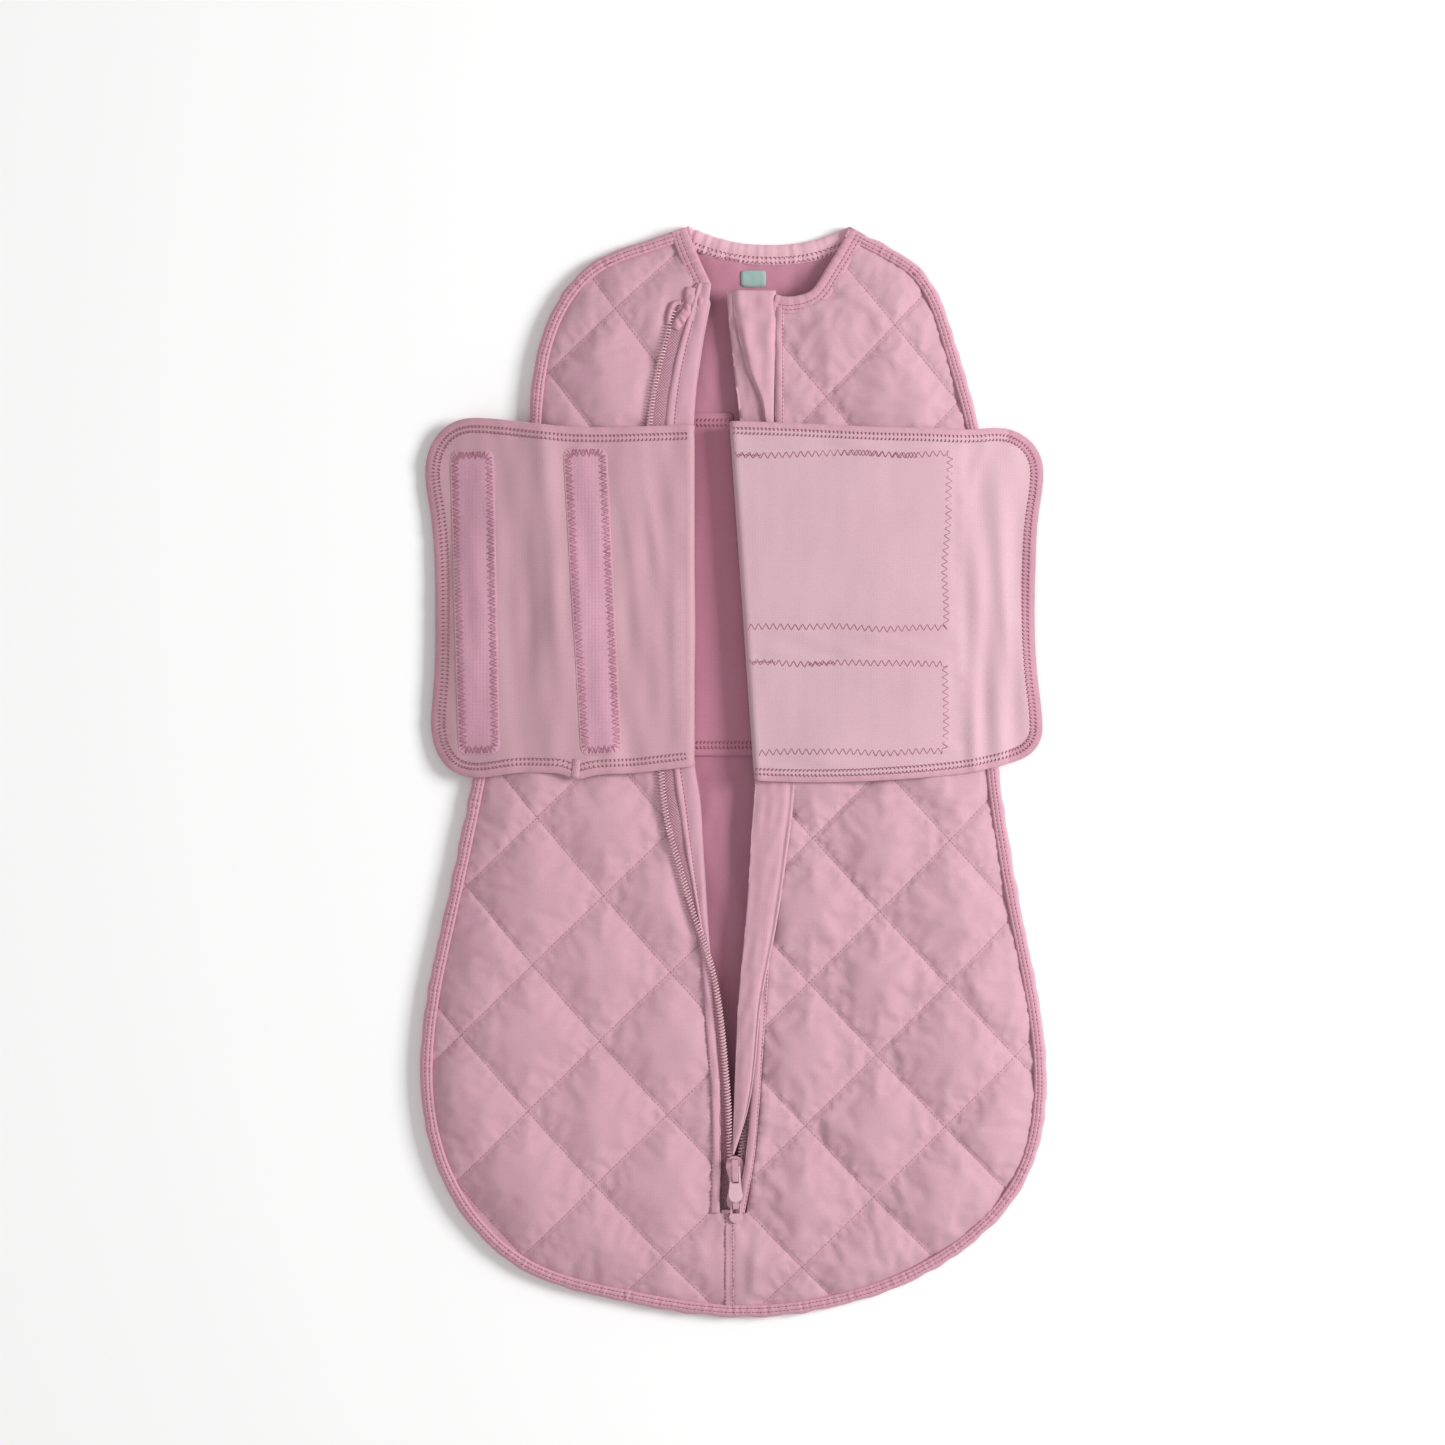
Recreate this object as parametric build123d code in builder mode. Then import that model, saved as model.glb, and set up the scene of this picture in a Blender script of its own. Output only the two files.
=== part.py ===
"""Baby sleeping bag with swaddle wings, lying open and face up.

The frame: the bag lies on its back on z = 0, +Y runs from the foot hem to the neck, +X is the
wearer's left, and +Z points out of the front. The origin is under the middle of the bag's box.
All sizes are in millimetres.
"""
from build123d import *
from math import atan2, degrees
import os

os.makedirs("parts", exist_ok=True)

# ---------------------------------------------------------------- driving dimensions
half_length = 350.7
hip_half_width = 201.5
binding_width = 8.0
crown_inset = 45.0          # how far in from the edge the front reaches its full height

# Heights of the layers, from the floor up.
back_outer_top = 0.8
back_batting_top = 4.6
back_top = 5.4
rim_top = 9.0               # the front's height where it meets the side binding
crown_top = 18.0            # the front's height over the pocket
gap = 0.05                  # the air between two skins that lie on each other

# The front's layers as (height at the rim, height over the pocket), from the inside out.
pocket_ceiling = (back_top, 13.0)
lining_face = (6.0, 13.8)
batting_face = (8.4, 17.2)
outer_face = (rim_top, crown_top)

back_neck_binding_width = 13.0
neck_left = Vector(-29.0, half_length)
neck_right = Vector(74.6, half_length)
neck_dip = Vector(23.0, 339.0)

# The bag's edge from the left of the neck, down round the foot hem and up to the right.
side_edge = [
    Vector(neck_left.X, neck_left.Y),
    Vector(-60, 340.5),
    Vector(-92, 326.5),
    Vector(-126, 270),
    Vector(-132.5, 215),
    Vector(-149, 105),
    Vector(-167, 0),
    Vector(-187, -95),
    Vector(-hip_half_width, -195),
    Vector(-188, -261),
    Vector(-138, -319),
    Vector(-72, -340.5),
    Vector(0, -half_length),
    Vector(64, -344.5),
    Vector(139, -314),
    Vector(190.5, -258),
    Vector(hip_half_width, -202),
    Vector(187, -98),
    Vector(171, 0),
    Vector(164, 110),
    Vector(158.5, 219),
    Vector(143.7, 273),
    Vector(119.5, 324.5),
    Vector(97, 339),
    Vector(neck_right.X, neck_right.Y),
]

# The two edges of the front opening, from the foot to the neck.
seam_x = -2.65
zip_end_y = -283.0
left_front_edge = [
    (-9.0, zip_end_y), (-9.0, -200), (-13.0, -150), (-17.3, -90), (-20.5, -37), (-25.5, 2),
    (-26.1, 223), (-24.0, 248), (-19.5, 278), (-15.0, 301), (-14.4, 315),
]
right_front_edge = [
    (8.6, zip_end_y), (16.7, -216), (20.0, -100), (22.0, 0), (24.0, 110), (25.0, 238), (27.0, 306),
]
right_neck_edge = [(27.0, 306), (36.0, 302.5), (52.2, 310), (neck_right.X, neck_right.Y)]

# Zipper: chain, tapes and the line the sliders travel along.
coil_radius = 1.2
coil_z = 14.0
tape_bottom = 12.2
tape_top = 12.75
zip_foot = Vector(1.0, -257.0)
zip_head = Vector(-11.5, 224.0)
travel = (zip_head - zip_foot).normalized()
chain_half_gap = 2.4        # from the slider's centre to the middle of each half of the chain
slider_half_width = 6.0
slider_length = 17.0


def slide_line_x(y):
    """Where the sliders' line crosses, at a height up the bag."""
    return zip_foot.X + (y - zip_foot.Y) * travel.X / travel.Y


# Swaddle wings.
wing_thickness = 2.0
wing_edging_width = 5.0
left_fold_x = -25.2
left_wing_bottom = 22.0
right_wing_bottom = 23.0
closure_thickness = 1.0     # of a hook strip or a loop patch
riser_thickness = 1.8
riser_top = 21.6
right_fold_top = Vector(-2.2, 224.0)
right_fold_foot = Vector(13.6, -4.4)


# ---------------------------------------------------------------- outlines
def edge_moved_in(inset):
    """The points of the bag's edge, each moved squarely inwards."""
    moved = []
    before = [side_edge[0]] + side_edge[:-1]
    after = side_edge[1:] + [side_edge[-1]]
    for previous, here, following in zip(before, side_edge, after):
        inward = (following - previous).normalized().rotate(Axis.Z, 90)
        moved.append(here + inward * inset)
    return moved


def bag_outline(inset):
    """The bag's plan, smaller all round by an inset."""
    edge = edge_moved_in(inset)
    with BuildSketch() as plan:
        with BuildLine():
            Spline(*edge)
            ThreePointArc(edge[-1], neck_dip - Vector(0, inset), edge[0])
        make_face()
    return plan.sketch


def strip(*corners):
    """A flat closed shape with straight sides."""
    with BuildSketch() as shape:
        with BuildLine():
            Polyline(*corners, close=True)
        make_face()
    return shape.sketch


def ribbon(left, right):
    """A flat shape between two edges that both run from the foot to the neck."""
    return strip(*left, *reversed(right))


def shifted(points, across):
    """The same edge, moved sideways."""
    return [(x + across, y) for x, y in points]


# ---------------------------------------------------------------- solids
def mound(face, raised=0.0):
    """All that lies under one face of the front, down to the back panel's lining."""
    rim = face[0] + raised
    crown = face[1] + raised
    with BuildPart() as body:
        if rim > back_top:
            with BuildSketch(Plane.XY.offset(back_top)):
                add(bag_outline(binding_width))
            extrude(amount=rim - back_top)
        with BuildSketch(Plane.XY.offset(rim)):
            add(bag_outline(binding_width))
        with BuildSketch(Plane.XY.offset(crown)):
            add(bag_outline(crown_inset))
        loft(ruled=True)
    return body.part


def prism(shape, bottom=-1.0, top=60.0):
    """A flat shape made into an upright block."""
    with BuildPart() as block:
        with BuildSketch(Plane.XY.offset(bottom)):
            add(shape)
        extrude(amount=top - bottom)
    return block.part


def between(lower, upper, shape, lower_raised=0.0, upper_raised=0.0):
    """The part of the front between two of its faces that is inside a flat shape."""
    with BuildPart() as layer:
        add(mound(upper, upper_raised))
        add(mound(lower, lower_raised), mode=Mode.SUBTRACT)
        add(prism(shape), mode=Mode.INTERSECT)
    return layer.part


def laid_on_front(shape, low, high):
    """A strip of cloth that lies on the front, from one height above it to another."""
    return between(outer_face, outer_face, shape, low, high)


def write(part, name):
    part.label = name
    export_step(part, f"parts/{name}.step")


# ---------------------------------------------------------------- back
back_neck_zone = strip(
    (neck_left.X, half_length + 10),
    (neck_left.X, half_length - back_neck_binding_width),
    (neck_dip.X, neck_dip.Y - back_neck_binding_width),
    (neck_right.X, half_length - back_neck_binding_width),
    (neck_right.X, half_length + 10),
)


def back_panel(bottom, top):
    """One layer of the back, stopping at the side binding and at the neck binding."""
    with BuildPart() as panel:
        add(prism(bag_outline(binding_width), bottom, top))
        add(prism(back_neck_zone), mode=Mode.SUBTRACT)
    return panel.part


write(back_panel(0, back_outer_top), "back_outer_panel")
write(back_panel(back_outer_top, back_batting_top), "back_batting")
write(back_panel(back_batting_top, back_top), "back_lining")

with BuildPart() as back_neck_binding:
    add(prism(bag_outline(0), 0, back_top))
    add(prism(back_neck_zone), mode=Mode.INTERSECT)
write(back_neck_binding.part, "back_neck_binding")

# ---------------------------------------------------------------- side and hem binding
snap_radius = 2.8
snap_clearance = 0.1
snap_bottom = 2.0
snap_top = rim_top - 0.6
left_snaps_along = (0.058, 0.076, 0.094)      # as shares of the edge's whole length
right_snaps_along = (0.942, 0.925, 0.908)
arm_ends_along = (0.032, 0.114, 0.970, 0.888)  # the bar tacks that end the arm openings
binding_middle = Spline(*edge_moved_in(binding_width / 2))


def on_binding(shares):
    return [binding_middle @ share for share in shares]


with BuildPart() as side_binding:
    add(prism(bag_outline(0), 0, rim_top))
    add(prism(bag_outline(binding_width)), mode=Mode.SUBTRACT)
    add(prism(back_neck_zone), mode=Mode.SUBTRACT)
    with BuildSketch(Plane.XY.offset(snap_bottom)):
        with Locations(*on_binding(left_snaps_along + right_snaps_along)):
            Circle(snap_radius + snap_clearance)
    extrude(amount=rim_top, mode=Mode.SUBTRACT)
write(side_binding.part, "side_binding")


def snaps(shares):
    """Press studs sewn into the binding that closes an arm opening."""
    with BuildPart() as studs:
        with BuildSketch(Plane.XY.offset(snap_bottom)):
            with Locations(*on_binding(shares)):
                Circle(snap_radius)
        extrude(amount=snap_top - snap_bottom)
        chamfer(studs.faces().filter_by(Axis.Z).group_by(Axis.Z)[-1].edges(), 0.6)
    return studs.part


write(snaps(left_snaps_along), "left_arm_snaps")
write(snaps(right_snaps_along), "right_arm_snaps")

# ---------------------------------------------------------------- fronts
beyond = 400.0
left_neck_strip = strip(
    left_front_edge[-1],
    (neck_left.X, half_length),
    (neck_left.X - 12, half_length),
    (-28.5, 311.5),
)
right_neck_strip = strip(
    *right_neck_edge,
    (neck_right.X + 12, half_length),
    (59.5, 300.0),
    (38.5, 291.5),
    (27.0, 294.5),
)
left_front_zone = strip(
    (seam_x - gap, -beyond),
    (seam_x - gap, zip_end_y),
    *left_front_edge,
    (neck_left.X, half_length),
    (neck_left.X, beyond),
    (-beyond, beyond),
    (-beyond, -beyond),
)
right_front_zone = strip(
    (seam_x + gap, -beyond),
    (seam_x + gap, zip_end_y),
    *right_front_edge,
    *right_neck_edge[1:],
    (neck_right.X, beyond),
    (beyond, beyond),
    (beyond, -beyond),
)


def front_layer(lower, upper, zone, neck_strip):
    """One layer of a front panel, without the strip that the neck binding wraps."""
    with BuildPart() as layer:
        add(between(lower, upper, zone))
        add(prism(neck_strip), mode=Mode.SUBTRACT)
    return layer.part


for side, zone, neck_strip in (
    ("left", left_front_zone, left_neck_strip),
    ("right", right_front_zone, right_neck_strip),
):
    write(front_layer(pocket_ceiling, lining_face, zone, neck_strip), f"front_{side}_lining")
    write(front_layer(lining_face, batting_face, zone, neck_strip), f"front_{side}_batting")
    write(front_layer(batting_face, outer_face, zone, neck_strip), f"front_{side}_outer")
    neck_piece = between(pocket_ceiling, outer_face, neck_strip, 0, 0.8)
    write(neck_piece, f"front_{side}_neck_binding")

# ---------------------------------------------------------------- strips round the opening
placket_height = 0.8
left_placket_edge = [(-9.0, zip_end_y), (-9.0, -200), (-11.2, -170)]
left_placket = ribbon(shifted(left_placket_edge, -6.9), left_placket_edge)
write(laid_on_front(left_placket, gap, placket_height), "left_placket")
right_placket_edge = right_front_edge[:-1] + [(26.0, 292)]
right_placket = ribbon(right_placket_edge, shifted(right_placket_edge, 7.0))
write(laid_on_front(right_placket, gap, placket_height), "right_placket")

# The left edge is rolled outwards: its facing shows, and beyond it the tape and the chain.
facing_inner = [(-16.2, -104), (-20.5, -37), (-25.5, 2), (-26.1, 223), (-24.0, 248), (-19.9, 276)]
facing_outer = [(-18.0, -104), (-31.0, -37), (-37.0, 2), (-42.0, 223), (-37.0, 248), (-25.0, 276)]
write(laid_on_front(ribbon(facing_outer, facing_inner), gap, 1.6), "left_facing")

rolled_coil = [(-21.5, -104), (-42.5, -37), (-47.8, 2), (-55.0, 223), (-50.0, 248), (-36.5, 276)]
rolled_tape_inner = shifted(facing_outer, -0.4)
rolled_tape_outer = shifted(rolled_coil, 1.3)
left_chain_foot = [(-3.2, -247), (-4.5, -222), (-7.2, -190), (-9.9, -150)]
chain_foot_y = zip_end_y + 2.9
tape_foot_y = zip_end_y + 1

with BuildPart() as zipper_tape_left:
    add(laid_on_front(ribbon(rolled_tape_outer, rolled_tape_inner), gap, 0.6))
    lower_tape = [(slide_line_x(tape_foot_y) - chain_half_gap, tape_foot_y), *left_chain_foot]
    with BuildSketch(Plane.XY.offset(tape_bottom)):
        add(ribbon(shifted(lower_tape, -9.5), shifted(lower_tape, 1.4)))
    extrude(amount=tape_top - tape_bottom)
write(zipper_tape_left.part, "zipper_tape_left")

right_chain = [
    (slide_line_x(chain_foot_y) + chain_half_gap, chain_foot_y), (5.4, -240), (7.5, -200),
    (13.0, -100), (16.0, 0), (17.0, 110), (17.5, 238), (18.5, 290),
]
with BuildPart() as zipper_tape_right:
    with BuildSketch(Plane.XY.offset(tape_bottom)):
        add(ribbon(shifted(right_chain, -1.4), shifted(right_chain, 9.5)))
    extrude(amount=tape_top - tape_bottom)
write(zipper_tape_right.part, "zipper_tape_right")


def chain_half(route, bend):
    """Half of a zipper chain: a closely wound coil along a route, as a plain rod."""
    with BuildPart() as chain:
        with BuildLine() as path:
            FilletPolyline(*route, radius=bend)
        with BuildSketch(Plane(origin=path.line @ 0, z_dir=path.line % 0)):
            Circle(coil_radius)
        sweep()
    return chain.part


rolled_z = crown_top + gap + coil_radius + 0.05
left_chain = [
    (slide_line_x(chain_foot_y) - chain_half_gap, chain_foot_y, coil_z),
    (slide_line_x(-255) - chain_half_gap, -255, coil_z),
    *[(x, y, coil_z) for x, y in left_chain_foot[1:]],
    (-13.0, -131, rolled_z),
    *[(x, y, rolled_z) for x, y in rolled_coil[:-1]],
    (-43.5, 262, rolled_z),
]
write(chain_half(left_chain, 8), "zipper_coil_left")
write(chain_half([(x, y, coil_z) for x, y in right_chain], 30), "zipper_coil_right")

# ---------------------------------------------------------------- zipper ends
with BuildPart() as zipper_bottom_stop:
    with BuildSketch(Plane.XY.offset(tape_top + gap)):
        with Locations((slide_line_x(zip_end_y) - 1.8, zip_end_y + 1.4)):
            Rectangle(15.0, 2.2)
    extrude(amount=2.6)
    fillet(zipper_bottom_stop.edges().filter_by(Axis.Z), 0.6)
write(zipper_bottom_stop.part, "zipper_bottom_stop")

zipper_garage = strip((-38.0, 286), (-29.5, 301), (-21.0, 296.5), (-29.0, 280))
write(laid_on_front(zipper_garage, 0.7, 3.0), "zipper_garage_tab")

foot_seam = strip((-5.3, -342.0), (-5.3, zip_end_y), (0.0, zip_end_y), (0.0, -342.0))
write(laid_on_front(foot_seam, gap, 0.9), "foot_seam_tape")

# ---------------------------------------------------------------- wind guard behind the zipper
guard_left = [(6.9, -214), (6.0, -184), (5.6, -146), (6.6, -111), (10.0, -62), (14.6, -4),
              (4.6, 225), (-0.3, 264), (-4.0, 307)]
guard_right = [(9.6, -214), (14.4, -184), (17.0, -152), (23.5, -111), (32.5, -62), (39.0, -4),
               (30.0, 225), (26.0, 264), (26.8, 307)]
write(laid_on_front(ribbon(guard_left, guard_right), placket_height + gap, 2.5), "zipper_guard")

# ---------------------------------------------------------------- bar tacks and neck label
with BuildPart() as bar_tacks:
    with BuildSketch(Plane.XY.offset(rim_top + gap)):
        for share in arm_ends_along:
            along = binding_middle % share
            with Locations(binding_middle @ share):
                SlotOverall(5.6, 1.6, rotation=degrees(atan2(along.Y, along.X)) + 90)
    extrude(amount=0.5)
write(bar_tacks.part, "bar_tacks")

with BuildPart() as neck_label:
    with BuildSketch(Plane.XY.offset(back_top)):
        with Locations((neck_dip.X - 10, 317)):
            RectangleRounded(18, 11, 2)
    extrude(amount=0.3)
write(neck_label.part, "neck_label")

# ---------------------------------------------------------------- swaddle belt on the back lining
belt_foot_y = 9.0
belt_head_y = 229.0
belt_thickness = 1.8
fold_slope = (right_fold_top.X - right_fold_foot.X) / (right_fold_top.Y - right_fold_foot.Y)


def right_fold_x(y):
    """Where the right wing folds, at a height up the bag."""
    return right_fold_foot.X + (y - right_fold_foot.Y) * fold_slope


belt_left_x = left_fold_x + gap
belt_plan = strip(
    (belt_left_x, belt_foot_y),
    (right_fold_x(belt_foot_y), belt_foot_y),
    (right_fold_x(belt_head_y), belt_head_y),
    (belt_left_x, belt_head_y),
)
write(prism(belt_plan, back_top, back_top + belt_thickness), "belt_centre_panel")

riser_foot_y = 9.5
riser_head_y = 221.0
riser_bottom = back_top + belt_thickness + gap
left_riser = strip(
    (belt_left_x, riser_foot_y),
    (belt_left_x + riser_thickness, riser_foot_y),
    (belt_left_x + riser_thickness, riser_head_y),
    (belt_left_x, riser_head_y),
)
write(prism(left_riser, riser_bottom, riser_top), "left_belt_riser")
right_riser = strip(
    (right_fold_x(riser_foot_y) - riser_thickness, riser_foot_y),
    (right_fold_x(riser_foot_y), riser_foot_y),
    (right_fold_x(riser_head_y), riser_head_y),
    (right_fold_x(riser_head_y) - riser_thickness, riser_head_y),
)
write(prism(right_riser, riser_bottom, riser_top), "right_belt_riser")


# ---------------------------------------------------------------- wings
def wing_section(side, low, high):
    """A sheet that lies over the front and drops past the bag's side, as long as a wing.

    Its two faces stand at two heights over the wing's own underside.
    """
    if side < 0:
        fall = [(20, left_wing_bottom), (60, left_wing_bottom), (92, left_wing_bottom - 0.1),
                (115, 20.9), (142, 17.4), (171, 10.6), (200, 2.8)]
    else:
        fall = [(-8, right_wing_bottom), (40, right_wing_bottom), (90, right_wing_bottom - 0.1),
                (116, 21.8), (144, 18.4), (175, 10.6), (202, 2.8)]
    under = [(side * x, z + low) for x, z in fall]
    over = [(side * x, z + high) for x, z in fall]
    with BuildPart() as sheet:
        with BuildSketch(Plane.XZ.offset(-240)):
            with BuildLine():
                Spline(*under, tangents=[(side, 0), (side, -0.3)])
                Line(under[-1], over[-1])
                Spline(*over, tangents=[(side, 0), (side, -0.3)])
                Line(under[0], over[0])
            make_face()
        extrude(amount=260)
    return sheet.part


def left_wing_outline(inset):
    with BuildSketch() as plan:
        with BuildLine():
            Polyline((-178, -2 + inset), (-110, 0 + inset), (left_fold_x, 3 + inset),
                     (left_fold_x, 221.8 - inset), (-99, 220.5 - inset), (-174, 226 - inset))
            Spline((-174, 226 - inset), (-191.5 + inset * 0.7, 216 - inset * 0.7),
                   (-198 + inset, 192))
            ThreePointArc((-198 + inset, 192), (-191 + inset, 95), (-194.5 + inset, 18))
            Spline((-194.5 + inset, 18), (-189.5 + inset * 0.7, 5 + inset * 0.7),
                   (-178, -2 + inset))
        make_face()
    return plan.sketch


def right_wing_outline(inset):
    foot = -4.4 + inset
    head = 224.0 - inset
    with BuildSketch() as plan:
        with BuildLine():
            Polyline((178, 3.5 + inset), (120, -4 + inset), (right_fold_x(foot) + 0.6, foot),
                     (right_fold_x(head) + 0.6, head), (95, 220 - inset), (176, 220 - inset))
            Spline((176, 220 - inset), (192 - inset * 0.7, 212 - inset * 0.7),
                   (198.7 - inset, 192))
            ThreePointArc((198.7 - inset, 192), (193.3 - inset, 108), (197.5 - inset, 26))
            Spline((197.5 - inset, 26), (191 - inset * 0.7, 11 + inset * 0.7),
                   (178, 3.5 + inset))
        make_face()
    return plan.sketch


def cut_from_sheet(sheet, shape, taken_away=None):
    with BuildPart() as piece:
        add(sheet)
        add(prism(shape), mode=Mode.INTERSECT)
        if taken_away:
            add(prism(taken_away), mode=Mode.SUBTRACT)
    return piece.part


left_sheet = wing_section(-1, 0, wing_thickness)
right_sheet = wing_section(1, 0, wing_thickness)
left_inner = left_wing_outline(wing_edging_width)
right_inner = right_wing_outline(wing_edging_width)
write(cut_from_sheet(left_sheet, left_inner), "left_wing_panel")
write(cut_from_sheet(left_sheet, left_wing_outline(0), left_inner), "left_wing_edging")
write(cut_from_sheet(right_sheet, right_inner), "right_wing_panel")
write(cut_from_sheet(right_sheet, right_wing_outline(0), right_inner), "right_wing_edging")


def rounded(corners, radius):
    with BuildSketch() as shape:
        add(strip(*corners))
        fillet(shape.vertices(), radius)
    return shape.sketch


hook_sheet = wing_section(-1, wing_thickness, wing_thickness + closure_thickness)
outer_hook_strip = rounded([(-182.4, 206), (-154.7, 206), (-149.8, 10.5), (-175.5, 10.5)], 6)
inner_hook_strip = rounded([(-109.1, 208), (-82.2, 208), (-71.4, 10), (-97.6, 10)], 6)
write(cut_from_sheet(hook_sheet, outer_hook_strip), "hook_strip_outer")
write(cut_from_sheet(hook_sheet, inner_hook_strip), "hook_strip_inner")

loop_sheet = wing_section(1, -closure_thickness, 0)
upper_loop_patch = rounded([(1.5, 206), (140.5, 206), (140.5, 90.2), (9.5, 90.2)], 2)
lower_loop_patch = rounded([(11.5, 72.3), (138.6, 72.3), (138.6, 10.2), (16.0, 10.2)], 2)
write(cut_from_sheet(loop_sheet, upper_loop_patch), "loop_patch_upper")
write(cut_from_sheet(loop_sheet, lower_loop_patch), "loop_patch_lower")

# ---------------------------------------------------------------- sliders and pulls
slider_bottom = 10.7
channel_bottom = 11.8
channel_top = 15.7
slider_top = 17.1
bridge_half_width = 1.85
bridge_thickness = 1.1
pin_radius = 0.7
pull_thickness = 1.3
pull_half_width = 4.5


def slider_plane(centre, head_up, z):
    """A level plane on the slide line: x across the zipper, y towards the slider's head."""
    heading = travel if head_up else travel * -1
    return Plane(origin=(centre.X, centre.Y, z), x_dir=heading.rotate(Axis.Z, -90), z_dir=(0, 0, 1))


def slider(centre, head_up, bridge_top):
    """Two plates joined by a post at the head, with a bridge that holds the pull."""
    half = slider_length / 2
    with BuildPart() as body:
        for bottom, top in ((slider_bottom, channel_bottom), (channel_top, slider_top)):
            with BuildSketch(slider_plane(centre, head_up, bottom)):
                with BuildLine():
                    Polyline((-3.6, -half), (3.6, -half), (slider_half_width, half - 7),
                             (slider_half_width - 0.6, half - 3.2))
                    ThreePointArc((slider_half_width - 0.6, half - 3.2), (0, half),
                                  (0.6 - slider_half_width, half - 3.2))
                    Polyline((0.6 - slider_half_width, half - 3.2),
                             (-slider_half_width, half - 7), (-3.6, -half))
                make_face()
            extrude(amount=top - bottom)
        plate_edges = body.faces().sort_by(Axis.Z)[-1].edges()
        fillet(plate_edges, 0.6)
        with BuildSketch(slider_plane(centre, head_up, channel_bottom)):
            with Locations((0, half - 2.6)):
                Rectangle(2.0, 3.4)
        extrude(amount=channel_top - channel_bottom)
        with BuildSketch(slider_plane(centre, head_up, slider_top)):
            Rectangle(2 * bridge_half_width, slider_length - 3)
        extrude(amount=bridge_top - slider_top)
        with BuildSketch(slider_plane(centre, head_up, slider_top)):
            Rectangle(2 * bridge_half_width + 1, slider_length - 6)
        extrude(amount=bridge_top - bridge_thickness - slider_top, mode=Mode.SUBTRACT)
        top_ends = body.faces().sort_by(Axis.Z)[-1].edges()
        fillet(top_ends, 0.4)
    return body.part


def pull(centre, pin_place, pin_z, length):
    """A forked tag: a pin through the slider's bridge, two prongs and a round-ended tab."""
    level = slider_plane(centre + travel * pin_place, False, pin_z - pull_thickness / 2)
    slot_half = bridge_half_width + 0.5
    slot_length = length * 0.44
    with BuildPart() as tag:
        with BuildSketch(level):
            with BuildLine():
                Polyline((-3.4, -1.1), (3.4, -1.1), (3.6, slot_length),
                         (pull_half_width, length - pull_half_width))
                ThreePointArc((pull_half_width, length - pull_half_width), (0, length),
                              (-pull_half_width, length - pull_half_width))
                Polyline((-pull_half_width, length - pull_half_width), (-3.6, slot_length),
                         (-3.4, -1.1))
            make_face()
            with Locations((0, slot_length / 2 - 0.6)):
                Rectangle(2 * slot_half, slot_length + 1.6, mode=Mode.SUBTRACT)
        extrude(amount=pull_thickness)
        fillet(tag.faces().sort_by(Axis.Z)[-1].edges().group_by(SortBy.LENGTH)[-1], 0.3)
        across = level.x_dir
        pin_centre = Vector(level.origin.X, level.origin.Y, pin_z)
        pin_plane = Plane(origin=pin_centre - across * 3.2, z_dir=across)
        with BuildSketch(pin_plane):
            Circle(pin_radius)
        extrude(amount=6.4)
    return tag.part


upper_bridge_top = 24.7
lower_bridge_top = 21.8
upper_pin_z = 22.7
lower_pin_z = 19.8
upper_centre = zip_foot + travel * 2.6
lower_centre = zip_foot - travel * 15.4
write(slider(upper_centre, True, upper_bridge_top), "upper_slider")
write(pull(upper_centre, 1.6, upper_pin_z, 22.0), "upper_pull")
write(slider(lower_centre, False, lower_bridge_top), "lower_slider")
write(pull(lower_centre, -4.6, lower_pin_z, 11.6), "lower_pull")
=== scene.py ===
"""The looks of the baby sleeping bag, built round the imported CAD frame.

Sizes in the making of each piece are millimetres in the frame's own axes: +Y towards the neck,
+X to the right of the picture, +Z out of the front. They become metres when a mesh is made.
"""
import math

import bpy
import numpy as np
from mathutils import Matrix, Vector
from mathutils.bvhtree import BVHTree
from mathutils.geometry import delaunay_2d_cdt


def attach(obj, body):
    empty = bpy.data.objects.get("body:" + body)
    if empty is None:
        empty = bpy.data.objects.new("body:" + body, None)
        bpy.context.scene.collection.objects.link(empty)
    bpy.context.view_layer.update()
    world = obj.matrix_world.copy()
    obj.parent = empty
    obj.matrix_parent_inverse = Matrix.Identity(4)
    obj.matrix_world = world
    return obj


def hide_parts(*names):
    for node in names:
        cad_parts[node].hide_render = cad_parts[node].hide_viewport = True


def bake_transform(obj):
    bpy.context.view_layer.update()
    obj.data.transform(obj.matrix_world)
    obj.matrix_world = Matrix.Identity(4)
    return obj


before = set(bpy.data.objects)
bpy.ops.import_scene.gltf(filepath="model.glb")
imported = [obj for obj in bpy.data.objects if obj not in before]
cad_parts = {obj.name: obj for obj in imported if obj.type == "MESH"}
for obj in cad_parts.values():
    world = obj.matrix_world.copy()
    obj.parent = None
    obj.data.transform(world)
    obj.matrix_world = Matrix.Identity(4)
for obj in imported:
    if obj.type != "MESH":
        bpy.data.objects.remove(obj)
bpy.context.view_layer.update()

MM = 0.001
scene = bpy.context.scene

# ---------------------------------------------------------------- sizes shared with the CAD
SIDE_EDGE = [
    (-29, 350.7), (-60, 340.5), (-92, 326.5), (-126, 270), (-132.5, 215), (-149, 105), (-167, 0),
    (-187, -95), (-201.5, -195), (-188, -261), (-138, -319), (-72, -340.5), (0, -350.7),
    (64, -344.5), (139, -314), (190.5, -258), (201.5, -202), (187, -98), (171, 0), (164, 110),
    (158.5, 219), (143.7, 273), (119.5, 324.5), (97, 339), (74.6, 350.7),
]
NECK_ARC = [(74.6, 350.7), (50, 341.6), (23, 339), (-4, 341.9), (-29, 350.7)]
BINDING = 8.0
CROWN_INSET = 45.0
RIM_TOP = 9.0
CROWN_TOP = 18.0
BACK_TOP = 5.4
SEAM_X = -2.65
ZIP_END_Y = -283.0
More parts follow.
